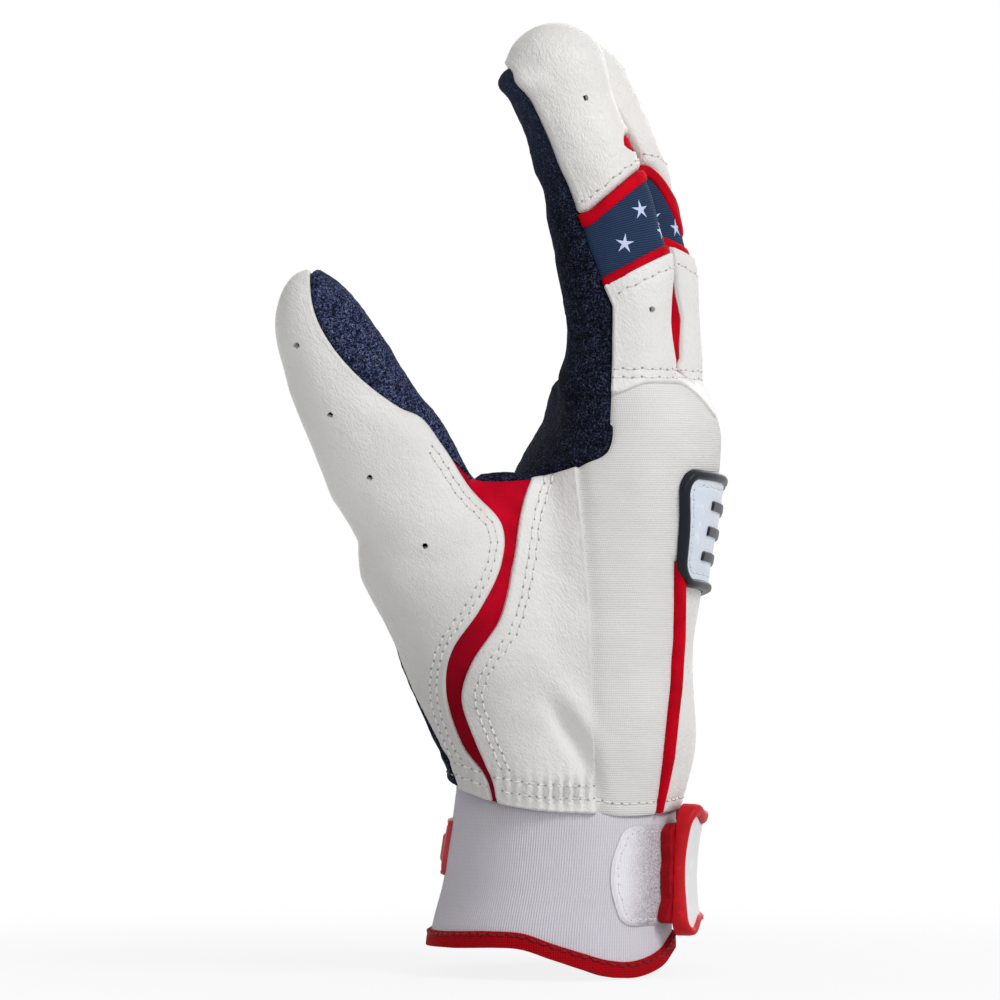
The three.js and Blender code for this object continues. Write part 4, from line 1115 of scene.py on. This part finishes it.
strips = [strip_between(y, i == 0) for i, y in enumerate(SLITS)]
thumb_side = 10 * np.minimum(-0.12 - hand.n[:, 1], hand.n[:, 0] + 0.75) + 30 * (X > 4)
below_top = CENTRE_PANEL_TOP_Z - Z
piping_width = np.interp(Z, *PIPING_TAPER)
ulnar_line = np.interp(Z, (28, CENTRE_PANEL_TOP_Z), ULNAR_PIPING_Y)
thumb_own = np.minimum(-thumb_edge, thumb_back)
side_own = np.min([gusset_right, -side_seam, -palm_low, SIDE_Y - Y, thumb_side], axis=0)
patch_own = np.min([thumb_s + THUMB_PATCH_LENGTH, THUMB_PATCH_HEIGHT - thumb_n, THUMB_PATCH_Y - Y], axis=0)
gusset_own = np.min([gusset_left, -gusset_right, -palm_low, GUSSET_Y - Y, thumb_side], axis=0)
palm_own = np.maximum(root_palm, palm_body)
fourchette_own = np.max(strips, axis=0)
knuckle_own = Z - scallop
ulnar_own = np.min([ULNAR_SEAM_X - X, Y - LITTLE_SIDE_Y, LITTLE_SIDE_TOP_Z - Z], axis=0)
piping_own = np.min([piping, piping_width - piping, PIPING_Y - Y, below_top], axis=0)
ulnar_piping_own = np.min([Y - ulnar_line, ulnar_line + PIPING_WIDTH - Y, X, below_top], axis=0)
centre_own = np.min([piping, ulnar_line - Y + 1, below_top], axis=0)

# Dents, the fold beside the side leather, and the swellings at the finger roots
fold = signed(SIDE_FOLD, X, Z)
dents = 0.4 * noise(hand.p, 15, 3) + 0.18 * noise(hand.p, 6, 4)
dents = dents - 2.1 * bell(fold, 2.6) * bell(X - 4, 6) * (Y < -12)
dents = dents + 1.2 * bell(fold - 5, 3) * bell(X - 5, 6) * (Y < -12)
swell = np.clip(hand.n[:, 0], 0, 1) * bell(past_root - 3, 6) * (past_root < 30)
swell = swell + 1.5 * bell(Z - 137, 4) * np.clip(-hand.n[:, 0], 0, 1) * (Y < -18) * (X > -10)
hand.p = hand.p + hand.n * (dents + swell)[:, None]


# The hand's panels. Each is cut back by those before it

def beyond(*owns):
    """What lies past other panels, with a seam's gap."""
    return [-own - GAP for own in owns]


def bend_thumb(obj, slot, *nodes):
    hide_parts(*nodes)
    ends = bend_ends(THUMB_KNEE, THUMB_AXIS, THUMB_Y, -THUMB_BEND, THUMB_BEND)
    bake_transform(obj)


over_hem = hem - ROWS_OVER_HEM
leather_hem = [(hem, place) for place in LEATHER_HEM_ROWS]
beside_gusset = [(-gusset_left, place, np.minimum(THUMB_ROWS_TOP_Z - Z, over_hem)) for place in THUMB_ROWS]
obj, white_rows = panel(
    "thumb_leather_panel", hand, [thumb_own, hem], [vents(X, Y, Z, *THUMB_VENTS), past_root],
    overlay, WHITE, rows=beside_gusset + leather_hem, extra=gathers,
)
bend_thumb(obj, "white_leather", "thumb_leather", "thumb_crease", "thumb_tip_leather")

white_rows += piece(
    "side_leather_panel", hand, [side_own, hem, *beyond(thumb_own)], [past_root], overlay, WHITE,
    "white_leather", "side_leather",
    rows=[(gusset_right, place, over_hem) for place in SIDE_ROWS] + leather_hem, extra=gathers,
)
cuts = [gusset_own + UNDERLAP, UNDERLAP - thumb_own, UNDERLAP - side_own, past_root]
piece(
    "thumb_gusset_panel", hand, [-palm_low, hem], cuts, level(GUSSET_LEVEL), GUSSET,
    "red_leather", "thumb_gusset",
)

hand_weave = hand.weave
thumb_depth = np.interp(thumb_s, (-40, 20), (-45, -55.5))
hand.weave = np.stack([np.arctan2(Y - thumb_depth, thumb_n) * 12, thumb_s], axis=1)
obj, _ = panel(
    "thumb_patch_panel", hand, [patch_own, hem, *beyond(thumb_own)], [-gusset_own, past_root], turned, NAVY_PAINTED_LIGHT,
    roughen=0.12,
)
hand.weave = hand_weave
bend_thumb(obj, "navy_leather", "thumb_palm_patch", "thumb_patch_crease", "thumb_tip_patch")

seams = [palm_own, hem, *beyond(thumb_own, side_own, gusset_own, patch_own)]
navy_rows = piece(
    "palm_panel", hand, seams, [past_root, strip_end], turned, NAVY_PAINTED_SHADE, "navy_leather", "palm_leather",
    rows=[(hem, HEM_ROW)], roughen=0.12, extra=gathers,
)
for a, b, mine in zip(names, names[1:], strips):
    name = f"{a}_{b}_fourchette"
    cuts = [mine + UNDERLAP, past_root]
    profile = level(FOURCHETTE_LEVEL)
    piece(name + "_panel", hand, beyond(palm_own), cuts, profile, FOURCHETTE, "red_leather", name)

white_rows += piece(
    "knuckle_panel", hand,
    [knuckle_own, *beyond(thumb_own, side_own, gusset_own, patch_own, palm_own, fourchette_own)],
    [vents(X, Y, Z, *KNUCKLE_VENTS), past_root], overlay, WHITE, "white_leather", "knuckle_leather",
    rows=[(Z - height, 0.0) for height in KNUCKLE_ROWS_Z] + [(past_root, KNUCKLE_ROW)],
)

fabric = [hem, *beyond(thumb_own, gusset_own, patch_own, palm_own, fourchette_own)]
cuts = [UNDERLAP - side_own, UNDERLAP - knuckle_own, past_root]
white_rows += piece(
    "little_side_panel", hand, [ulnar_own, *fabric], cuts, turned, WHITE,
    "white_leather", "little_side_leather", rows=[(hem, HEM_ROW), (hem, LITTLE_SIDE_HEM_ROW)], extra=gathers,
)
fabric += beyond(ulnar_own)
for name, own in (("thumb_side_piping", piping_own), ("little_side_piping", ulnar_piping_own)):
    piece(name + "_cord", hand, [own, *fabric], cuts, cord(PIPING_WIDTH / 2, 1.45), TRIM, "red_trim", name)

fabric += [-piping_own, -ulnar_piping_own]
white_rows += piece(
    "centre_back_cloth", hand, [centre_own, *fabric], cuts, cloth, WHITE,
    "white_leather", "centre_back_panel", rows=[(hem, HEM_ROW)],
)
white_rows += piece(
    "back_stretch_cloth", hand, [*beyond(centre_own), *fabric], cuts, cloth, STRETCH, "stretch_fabric",
    "back_stretch_panel", rows=[(hem, HEM_ROW)], extra=beside_leather,
)
sew("hand_stitches", white_rows, [THREAD_WHITE, HOLE_SHADE_DISC])
sew("palm_stitches", navy_rows, [THREAD_NAVY, HOLE_SHADE_DISC])


# Fingers

# Stars on a flex insert: degrees round the finger from the thumb side towards the back, and place along it
STARS = {
    "index": [(48.5, 8.3), (18, 0.9), (-15, -5.0), (80, 2.5), (100, 10.5), (128, 3.0), (160, -2.0)],
    "middle": [(46, 11), (28, 6.2), (66, 3.0), (95, 9.0), (122, 1.5), (150, 6.5), (10, -2.5)],
    "ring": [(60, 9.5), (38, 2.5), (88, 3.0), (112, 10.0), (140, 3.5), (165, -3.0)],
    "little": [(55, 8.5), (30, 1.5), (84, 2.0), (108, 8.5), (140, 1.0), (172, -4.0)],
}
STAR_RADIUS = 2.5
STAR_INNER = 0.3
STAR_DEPTH = 1.2  # a star that would bend further than this into the cloth is left out


def stars_on(finger, cloth_obj):
    """Five-point stars laid on a flex insert."""
    corners = [list(p.vertices) for p in cloth_obj.data.polygons]
    tree = BVHTree.FromPolygons([v.co / MM for v in cloth_obj.data.vertices], corners)
    points, faces = [], []
    across = np.array([finger.along[1], 0, -finger.along[0]])
    axis = np.array([finger.along[0], 0, finger.along[1]])
    for turn, s in STARS[finger.name]:
        angle = math.radians(turn)
        out = across * math.sin(angle) + np.array([0, -math.cos(angle), 0])
        side = np.cross(axis, out)
        origin = np.array([finger.knee[0], finger.y, finger.knee[1]]) + axis * s
        spin = rng.uniform(-0.3, 0.3)
        star = []
        for ring in (0.0, 0.34, 0.68, 1.0):
            for k in range(10):
                radius = STAR_RADIUS * ring * (1 if k % 2 == 0 else STAR_INNER)
                a = spin + math.pi * k / 5
                p = origin + out * 30 + radius * (math.cos(a) * axis + math.sin(a) * side)
                hit = tree.ray_cast(Vector(p), Vector(-out), 60)[0]
                star.append(None if hit is None else np.array(hit) + out * 0.07)
        if any(p is None for p in star) or np.ptp(np.array(star) @ out) > STAR_DEPTH:
            continue
        first = len(points)
        points += star
        for ring in range(3):
            for k in range(10):
                a, b = first + ring * 10 + k, first + ring * 10 + (k + 1) % 10
                faces.append([a, b, b + 10, a + 10])
    return make_object(f"{finger.name}_stars", np.array(points), faces, [STAR])


def dress_finger(finger, neighbours):
    """The panels of one finger. neighbours are -1 and 1 where another finger stands beside it in y."""
    name = finger.name
    skin = finger_skin(finger)
    x, y, z = skin.p.T
    s, n = finger.place(x, z)
    knee_s, _ = finger.knee_place(x, z)
    half, depth, _ = finger.sizes(s)
    skin.weave = np.stack([np.arctan2((y - finger.y) / depth, n / half) * 11.5, s], axis=1)
    push = 0.22 * noise(skin.p, 9, 6) + 0.12 * noise(skin.p, 4, 7)
    palmar = smooth_step(-n / half * 1.2)
    if name == "index":
        for height, width, rise in INDEX_PADS:
            push += rise * palmar * bell(z - height, width)
    push -= 0.5 * bell(knee_s - 2, 7) * smooth_step(n / half * 1.5)
    skin.p = skin.p + skin.n * push[:, None]

    palm_side = finger.palm_field(x, z)
    back = -palm_side - GAP
    low = finger.band_field(x, z, LOWER_EDGE[name])
    high = finger.band_field(x, z, UPPER_EDGE[name])
    inner_low = low - TRIM_WIDTH
    inner_high = high + TRIM_WIDTH
    # The red side strip faces the next fingers, and on the index finger it peeks out above the trim
    peek = 5.5 * bell(knee_s - 24.2, np.where(knee_s > 24.2, 4.5, 2.2)) * (name == "index")
    towards = np.max([side * (y - finger.y) for side in neighbours], axis=0)
    pointed = np.sqrt(np.clip((finger.s[-1] - 13 - s) / 20, 0, 1))
    strip_half = (0.5 * pointed + 0.13 * peek) * half
    side_strip = np.min([strip_half - np.abs(n), towards + peek - 0.4, finger.s[-1] - 14 - s], axis=0)

    def bent(label, slot, nodes, *cut, **more):
        made, rows = panel(f"{name}_{label}", skin, *cut, **more)
        finger.bend(made, slot, *(f"{name}_{node}" for node in nodes))
        return made, rows

    holes = [vents(x, y, z, *INDEX_VENTS)] if name == "index" else []
    seams = [high - GAP, back, *beyond(side_strip)]
    _, rows = bent("tip_shell", "tip_leather", ["tip_leather"], seams, holes, turned, TIP, rows=[(high, 2.4)])
    nodes = ["tip_palm", "palm_crease"]
    bent("palm_strip", "navy_leather", nodes, [palm_side], [knee_s - STRIP_LOW], turned, NAVY_PAINTED_SHADE, roughen=0.12)
    trim = cord(1.1, 0.75)
    bent("upper_binding", "red_trim", ["upper_trim"], [inner_high, -high, back], [], trim, TRIM)
    bent("lower_binding", "red_trim", ["lower_trim"], [low, -inner_low, back], [], trim, TRIM)
    cuts = [inner_low + 0.8, -inner_high + 0.8]
    insert, _ = bent("flex_cloth", "flex_fabric", ["flex_insert"], [back], cuts, cloth, FLEX)
    finger.bend(stars_on(finger, insert), "flex_fabric")
    bent("side_strip", "red_leather", [], [side_strip, high - GAP], [back], cloth, FOURCHETTE)
    finger.bend(thread(f"{name}_stitches", rows, [THREAD_WHITE, HOLE_SHADE_DISC]), "white_leather")


dress_finger(fingers["index"], [1])
dress_finger(fingers["middle"], [-1, 1])
dress_finger(fingers["ring"], [-1, 1])
dress_finger(fingers["little"], [-1])


# Cuff

# Sections as for the hand; the lower edge as x and z seen from the thumb side
CUFF_SECTIONS = [
    (-14, -31.4, 29, -36, 36, -3),
    (3, -30.2, 28.6, -35, 35, -3),
    (17, -26.8, 28.9, -33.4, 33.4, -3),
    (37, -24.2, 29.6, -31.6, 31.6, -3),
]
CUFF_RIM = [
    (-34, -0.9), (-30.5, -0.6), (-22.8, 0.1), (-15.6, 0.4), (-8.4, 0.0), (-1, -2.4),
    (6.7, -4.8), (12.5, -6.5), (18.7, -7.0), (25, -4.8), (28.5, -1.2), (32, 0.5),
]
CUFF_COUNT = (300, 64)  # points round the cuff and up it
CUFF_TUCK = 3.5  # how far the cuff reaches up inside the leather
CUFF_WALL = 2.4
BINDING_HEIGHT = 3.9
PATCH_END = [(17.9, 32), (15.6, 27), (13.4, 20.5), (13.2, 15), (14.6, 9), (17, 3)]
PATCH_END_Y = 25.5  # on the little-finger side
PATCH_Z = (5.4, 29.4)
STRAP_Z = (1.9, 34.9)
STRAP_TAPER = 2.6
STRAP_END_Y = -20.5
STRAP_HINGE = (27.4, 31.4)
STRAP_FRAME = (1.9, 3.2, 2.1)  # width at the end, above and below
STRAP_ANCHOR_X = 4
STRAP_FLOOR = 4.0  # the strap's layers, by height over the cuff
STRAP_FACE_TOP = 5.6
HOOK_LAYER = (1.1, 3.9)
WEB_TOP = 5.0
LABEL_Y = 3.5
LABEL_Z = (16.3, 29.8)
LABEL_HALF = 11.5


def rounded(a, b, r):
    """The smaller of two side distances, with the corner between them rounded."""
    return np.where((a < r) & (b < r), r - np.hypot(r - a, r - b), np.minimum(a, b))


def box_field(a, b, low_a, high_a, low_b, high_b, r):
    return rounded(np.minimum(a - low_a, high_a - a), np.minimum(b - low_b, high_b - b), r)


def cuff_skin():
    """The cuff as a grid of points, with its height above the rim, and weave as the length round it."""
    count, levels = CUFF_COUNT
    table = spline(CUFF_SECTIONS, 20)
    rim = spline(CUFF_RIM)

    def ring(z, turn):
        palm, back, radial, ulnar, crest_y = reaches(table, z)
        power = 2 / HAND_ROUNDNESS
        c, s = np.cos(turn), np.sin(turn)
        half_y = np.where(s > 0, ulnar - crest_y, crest_y - radial)
        x = (palm + back) / 2 + (back - palm) / 2 * np.sign(c) * np.abs(c) ** power
        return x, crest_y + half_y * np.sign(s) * np.abs(s) ** power

    fine = np.linspace(-math.pi, math.pi, 4001)
    arc = lengths(np.stack(ring(np.full(4001, 15.0), fine), axis=1))
    arc -= np.interp(0, fine, arc)
    even = np.linspace(arc[0], arc[-1], count, endpoint=False)
    u, v = np.meshgrid(np.arange(count), np.linspace(0, 1, levels), indexing="ij")
    turn = np.interp(even, arc, fine)[u]
    x, _ = ring(np.full(turn.shape, -2.0), turn)
    low = np.interp(x, rim[:, 0], rim[:, 1])
    high = hem_z(x) + CUFF_TUCK
    z = low * (1 - v) + high * v
    points = np.stack([*ring(z, turn), z], axis=2)
    du = np.roll(points, -1, axis=0) - np.roll(points, 1, axis=0)
    normals = unit(np.cross(du, np.gradient(points, axis=1)))
    a = np.arange(count * levels).reshape(count, levels)
    b = np.roll(a, -1, axis=0)
    quads = np.stack([a[:, :-1], b[:, :-1], b[:, 1:], a[:, 1:]], axis=2).reshape(-1, 4)
    skin = Skin(points.reshape(-1, 3), normals.reshape(-1, 3), halves(quads))
    skin.weave = np.stack([np.broadcast_to(even[:, None], z.shape).ravel(), z.ravel()], axis=1)
    return skin, (z - low).ravel()


wrist, rim_rise = cuff_skin()
around_cuff = wrist.weave[:, 0]
cuff_x, cuff_y, cuff_z = wrist.p.T
on_back = 100 * (cuff_x + 2)  # positive on the cuff's back


def on_cuff(y):
    """Length round the cuff at a given y on its back."""
    near = (cuff_x > 0) & (np.abs(cuff_z - 15) < 2)
    order = np.argsort(cuff_y[near])
    return float(np.interp(y, cuff_y[near][order], around_cuff[near][order]))


def tucked_in(p, edge):
    """The cuff draws in where the leather covers it."""
    return -1.6 * smooth_step((above_hem(p[:, 0], p[:, 2]) + 0.3) / 2.5)


def label_face(p, d):
    """The label's plain raised middle, and the groove round it."""
    inset = np.maximum(np.abs(p[:, 1] - LABEL_Y) - 8, np.abs(p[:, 2] - 23) - 3.0)
    return 0.5 * smooth_step((0.5 - inset) / 0.7) - 0.25 * bell(d - 1.2, 0.4)


def bowed(p, d):
    """The stiff strap stands off the cuff at its upper and lower edges."""
    return 2.3 * ((p[:, 2] - 18.4) / 16) ** 2


cuff_dents = 0.35 * noise(wrist.p, 14, 31)
wrist.p = wrist.p + wrist.n * (cuff_dents * smooth_step((cuff_z - 4) / 8))[:, None]
piece(
    "cuff_shell", wrist, [rim_rise - 1.0], [], flat(0.0), CUFF, "cuff_neoprene", "cuff", floor=-CUFF_WALL,
    extra=tucked_in,
)
rows = piece(
    "cuff_binding_tape", wrist, [BINDING_HEIGHT - rim_rise], [], rolled(0.1, 1.0, 1.2), BINDING,
    "red_binding", "cuff_binding", rows=[(rim_rise, BINDING_HEIGHT - 0.9)], floor=-CUFF_WALL - 0.9,
)
sew("binding_stitches", rows, [THREAD_RED, HOLE_SHADE_DISC_RED], pitch=2.6, proud=0.1, radius=0.3)

patch_end = np.where(cuff_y < 0, signed(PATCH_END, cuff_x, cuff_z), np.minimum(PATCH_END_Y - cuff_y, 30.0))
patch = rounded(patch_end, np.minimum(cuff_z - PATCH_Z[0], PATCH_Z[1] - cuff_z), 2.5)
patch = np.minimum(patch, on_back)
rows = piece(
    "loop_patch_pile", wrist, [patch], [], flat(0.95, 0.5, 0.5), LOOPS, "loop_fabric", "loop_patch",
    rows=[(patch, 1.5)], floor=0.02, roughen=0.12,
)
sew("loop_patch_stitches", rows, [THREAD_WHITE, HOLE_SHADE_DISC_PALE], pitch=1.9, radius=0.14, proud=0.03, hole=0.2)

label = np.minimum(box_field(cuff_y - LABEL_Y, cuff_z, -LABEL_HALF, LABEL_HALF, *LABEL_Z, 2.0), -5 - cuff_x)
piece(
    "wrist_label_rubber", wrist, [label], [], rolled(0.3, 1.2, 0.5), LABEL_RUBBER,
    "red_rubber", "wrist_label", floor=0.02, extra=label_face,
)

# The strap lies on the loop patch and is proud of the cuff
strap_low = on_cuff(STRAP_END_Y)
strap_high, anchor_low = (on_cuff(y) for y in STRAP_HINGE)
past_end = around_cuff - strap_low
taper = STRAP_TAPER * smooth_step((past_end - 2) / 9)
below = cuff_z - STRAP_Z[0] - taper * 1.3
above = STRAP_Z[1] - taper - cuff_z
strap_sides = np.minimum(below, above)
strap = rounded(past_end, strap_sides, 5.0)
strap = np.min([strap, on_back, rounded(strap_high - around_cuff, strap_sides, 2.0)], axis=0)
inner = rounded(past_end - STRAP_FRAME[0], np.minimum(below - STRAP_FRAME[2], above - STRAP_FRAME[1]), 3.0)
inner = np.minimum(inner, strap_high - around_cuff - STRAP_FRAME[0])
piece(
    "strap_frame_rubber", wrist, [strap, -inner], [], rolled(4.8, 6.5, 1.3), RED_RUBBER,
    "badge_rubber", "strap_frame", body="strap", floor=STRAP_FLOOR, extra=bowed,
)
piece(
    "strap_face_rubber", wrist, [], [np.minimum(inner + 0.5, strap)], flat(STRAP_FACE_TOP), STRAP_FACE,
    "strap_face", "strap_face", body="strap", floor=STRAP_FLOOR + 0.05, extra=bowed,
)
hook_edge = strap_low - 1.3 + 1.1 * noise(wrist.p, 3.2, 41)
hook = box_field(around_cuff - hook_edge, cuff_z, 0, 17, STRAP_Z[0] + 3.6, STRAP_Z[1] - 5.2, 2.0)
piece(
    "strap_hook_pile", wrist, [np.minimum(hook, on_back)], [], flat(HOOK_LAYER[1]), HOOK_RED,
    "hook_fabric", "strap_hook_patch", body="strap", floor=HOOK_LAYER[0], roughen=0.2,
)

web_sides = np.minimum(cuff_z - STRAP_Z[0] - 5.2, STRAP_Z[1] - 4.2 - cuff_z)
web_area = np.min([web_sides, around_cuff - strap_high + 2, anchor_low - around_cuff + 2, on_back], axis=0)
obj, _ = panel("strap_bend_web", wrist, [web_area], [], flat(WEB_TOP), WEB_TAPE, floor=STRAP_FLOOR + 0.1)
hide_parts("strap_bend")
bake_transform(obj)
anchor = rounded(np.minimum(around_cuff - anchor_low, 500 * (cuff_y > 10) - 1.0), web_sides + 1.0, 1.5)
anchor = np.minimum(anchor, np.where(cuff_y > 10, cuff_x - STRAP_ANCHOR_X, -5))
rows = piece(
    "strap_anchor_web", wrist, [anchor], [], flat(WEB_TOP), WEB_TAPE, "strap_web", "strap_anchor",
    rows=[(anchor, 1.6)], floor=0.05,
)
sew("anchor_stitches", rows, [THREAD_WHITE, HOLE_SHADE_DISC_PALE], pitch=2.0, hole=0.25)


# Badge

BADGE_Y = (-35.5, 21.5)
BADGE_Z = 99.3
BADGE_HALF = 14
BADGE_SLOPE = -0.075
BADGE_CORNER = 6.5
BADGE_RIM_WIDTH = 2.4
BAR_PITCH = 6.0
BAR_WIDTH = 2.4
BAR_HALF = 19.5
BAR_Y = -7
BARS_HALF = 8.5  # half the height of the four bars together


def back_arc(y, z):
    """Length round the hand's back at z, from the crest."""
    fine = np.linspace(-60, 60, 1201)
    palm, back, radial, ulnar, crest_y = reaches(section, z)
    half = np.where(fine > crest_y, ulnar - crest_y, crest_y - radial)
    share = np.clip(1 - np.abs((fine - crest_y) / half) ** HAND_ROUNDNESS, 0, 1)
    x = (palm + back) / 2 + (back - palm) / 2 * share ** (1 / HAND_ROUNDNESS)
    arc = lengths(np.stack([x, fine], axis=1))
    arc -= np.interp(crest_y, fine, arc)
    return np.interp(y, fine, arc)


badge_low, badge_high = back_arc(np.array(BADGE_Y), 100.0)
badge_centre = (badge_low + badge_high) / 2
badge_u = back_arc(Y, 100.0) - badge_centre
badge_v = Z - BADGE_Z - BADGE_SLOPE * (Y + 6)
lean = badge_v * (0.13 + 0.2 * np.clip(-badge_u / 28, -0.3, 1))
badge_ends = (badge_low - badge_centre, badge_high - badge_centre)
badge = box_field(badge_u + lean, badge_v, *badge_ends, -BADGE_HALF, BADGE_HALF, BADGE_CORNER)
over_back = 100 * (X - 12)
badge = np.minimum(badge, over_back)
bar_row = np.abs((badge_v + BAR_PITCH * 1.5) % BAR_PITCH - BAR_PITCH / 2)
bars = [BAR_WIDTH / 2 - bar_row, BAR_HALF - np.abs(Y - BAR_Y), BARS_HALF - np.abs(badge_v), over_back]
piece(
    "badge_rim_rubber", hand, [badge, BADGE_RIM_WIDTH - badge], [], rolled(0.8, 2.3, 1.2), BADGE_RIM,
    "badge_rubber", "badge_rim", floor=0.2,
)
rows = piece(
    "badge_field_rubber", hand, [badge - BADGE_RIM_WIDTH + 0.6], [], level(1.4), BADGE_FIELD,
    "badge_field", "badge_field", floor=0.2, rows=[(badge, BADGE_RIM_WIDTH + 1.3)],
)
piece("badge_bars_rubber", hand, bars, [], rolled(1.3, 2.0, 0.5), BADGE_RIM, "badge_field", floor=0.9)
sew("badge_stitches", rows, [THREAD_WHITE, HOLE_SHADE_DISC], pitch=2.2, radius=0.16, proud=0.05, hole=0.2)


# Camera, light and floor

CAMERA_DISTANCE = 1.6
MIDDLE = Vector((0, 0, 0.11))
WORLD_LIGHT = 0.36  # what the world gives to the glove; the camera sees it white
FLOOR_FADE = {"From Min": 0.06, "From Max": 0.3, "To Min": 0.86, "To Max": 1.0}  # the floor whitens outwards

scene = bpy.context.scene
scene.view_settings.view_transform = "Standard"
camera_data = bpy.data.cameras.new("camera")
camera = bpy.data.objects.new("camera", camera_data)
scene.collection.objects.link(camera)
camera.location = (-0.01344, -0.035 - CAMERA_DISTANCE, 0.108)
camera.rotation_euler = (math.pi / 2, 0, 0)
camera_data.sensor_width = 36
camera_data.lens = 240
camera_data.clip_start = 0.05
scene.camera = camera


def area_light(name, place, size, power):
    data = bpy.data.lights.new(name, "AREA")
    data.shape = "DISK"
    data.size = size
    data.energy = power
    light = bpy.data.objects.new(name, data)
    scene.collection.objects.link(light)
    light.location = place
    light.rotation_euler = (MIDDLE - Vector(place)).to_track_quat("-Z", "Y").to_euler()


area_light("key", (1.3, -1.2, 1.45), 1.0, 26)
area_light("fill", (-0.3, -1.9, 0.7), 1.0, 4.3)
area_light("back", (0.5, 1.6, 0.9), 1.2, 6)


def math_node(tree, operation, a, b):
    return add_node(tree, "ShaderNodeMath", {0: a, 1: b}, operation=operation).outputs[0]


def seen_white(tree):
    """A share that is 1 for the camera, gloss and glass, and 0 for everything else."""
    path = add_node(tree, "ShaderNodeLightPath").outputs
    glossy = math_node(tree, "MAXIMUM", path["Is Glossy Ray"], path["Is Transmission Ray"])
    return math_node(tree, "MAXIMUM", path["Is Camera Ray"], glossy)


world = bpy.data.worlds.new("studio")
scene.world = world
world.use_nodes = True
tree = world.node_tree
background = tree.nodes["Background"]
background.inputs["Color"].default_value = (1, 1, 1, 1)
inputs = {"Value": seen_white(tree), "To Min": WORLD_LIGHT, "To Max": 1.0}
strength = add_node(tree, "ShaderNodeMapRange", inputs).outputs["Result"]
tree.links.new(strength, background.inputs["Strength"])

floor_material = bpy.data.materials.new("floor")
floor_material.use_nodes = True
tree = floor_material.node_tree
diffuse = add_node(tree, "ShaderNodeBsdfDiffuse", {"Color": (0.8, 0.8, 0.8, 1)})
glow = add_node(tree, "ShaderNodeEmission", {"Strength": 1.0})
place = add_node(tree, "ShaderNodeTexCoord").outputs["Object"]
far = add_node(tree, "ShaderNodeVectorMath", {0: place}, operation="LENGTH").outputs["Value"]
fade = add_node(tree, "ShaderNodeMapRange", {"Value": far} | FLOOR_FADE, interpolation_type="SMOOTHSTEP")
share = math_node(tree, "MULTIPLY", seen_white(tree), fade.outputs["Result"])
mixed = add_node(tree, "ShaderNodeMixShader", {"Fac": share, 1: diffuse.outputs[0], 2: glow.outputs[0]})
tree.links.new(mixed.outputs[0], tree.nodes["Material Output"].inputs["Surface"])
bpy.ops.mesh.primitive_plane_add(size=8, location=(0, 0, FLOOR_Z * MM))
floor = bpy.context.object
floor.name = "floor"
floor.data.materials.append(floor_material)
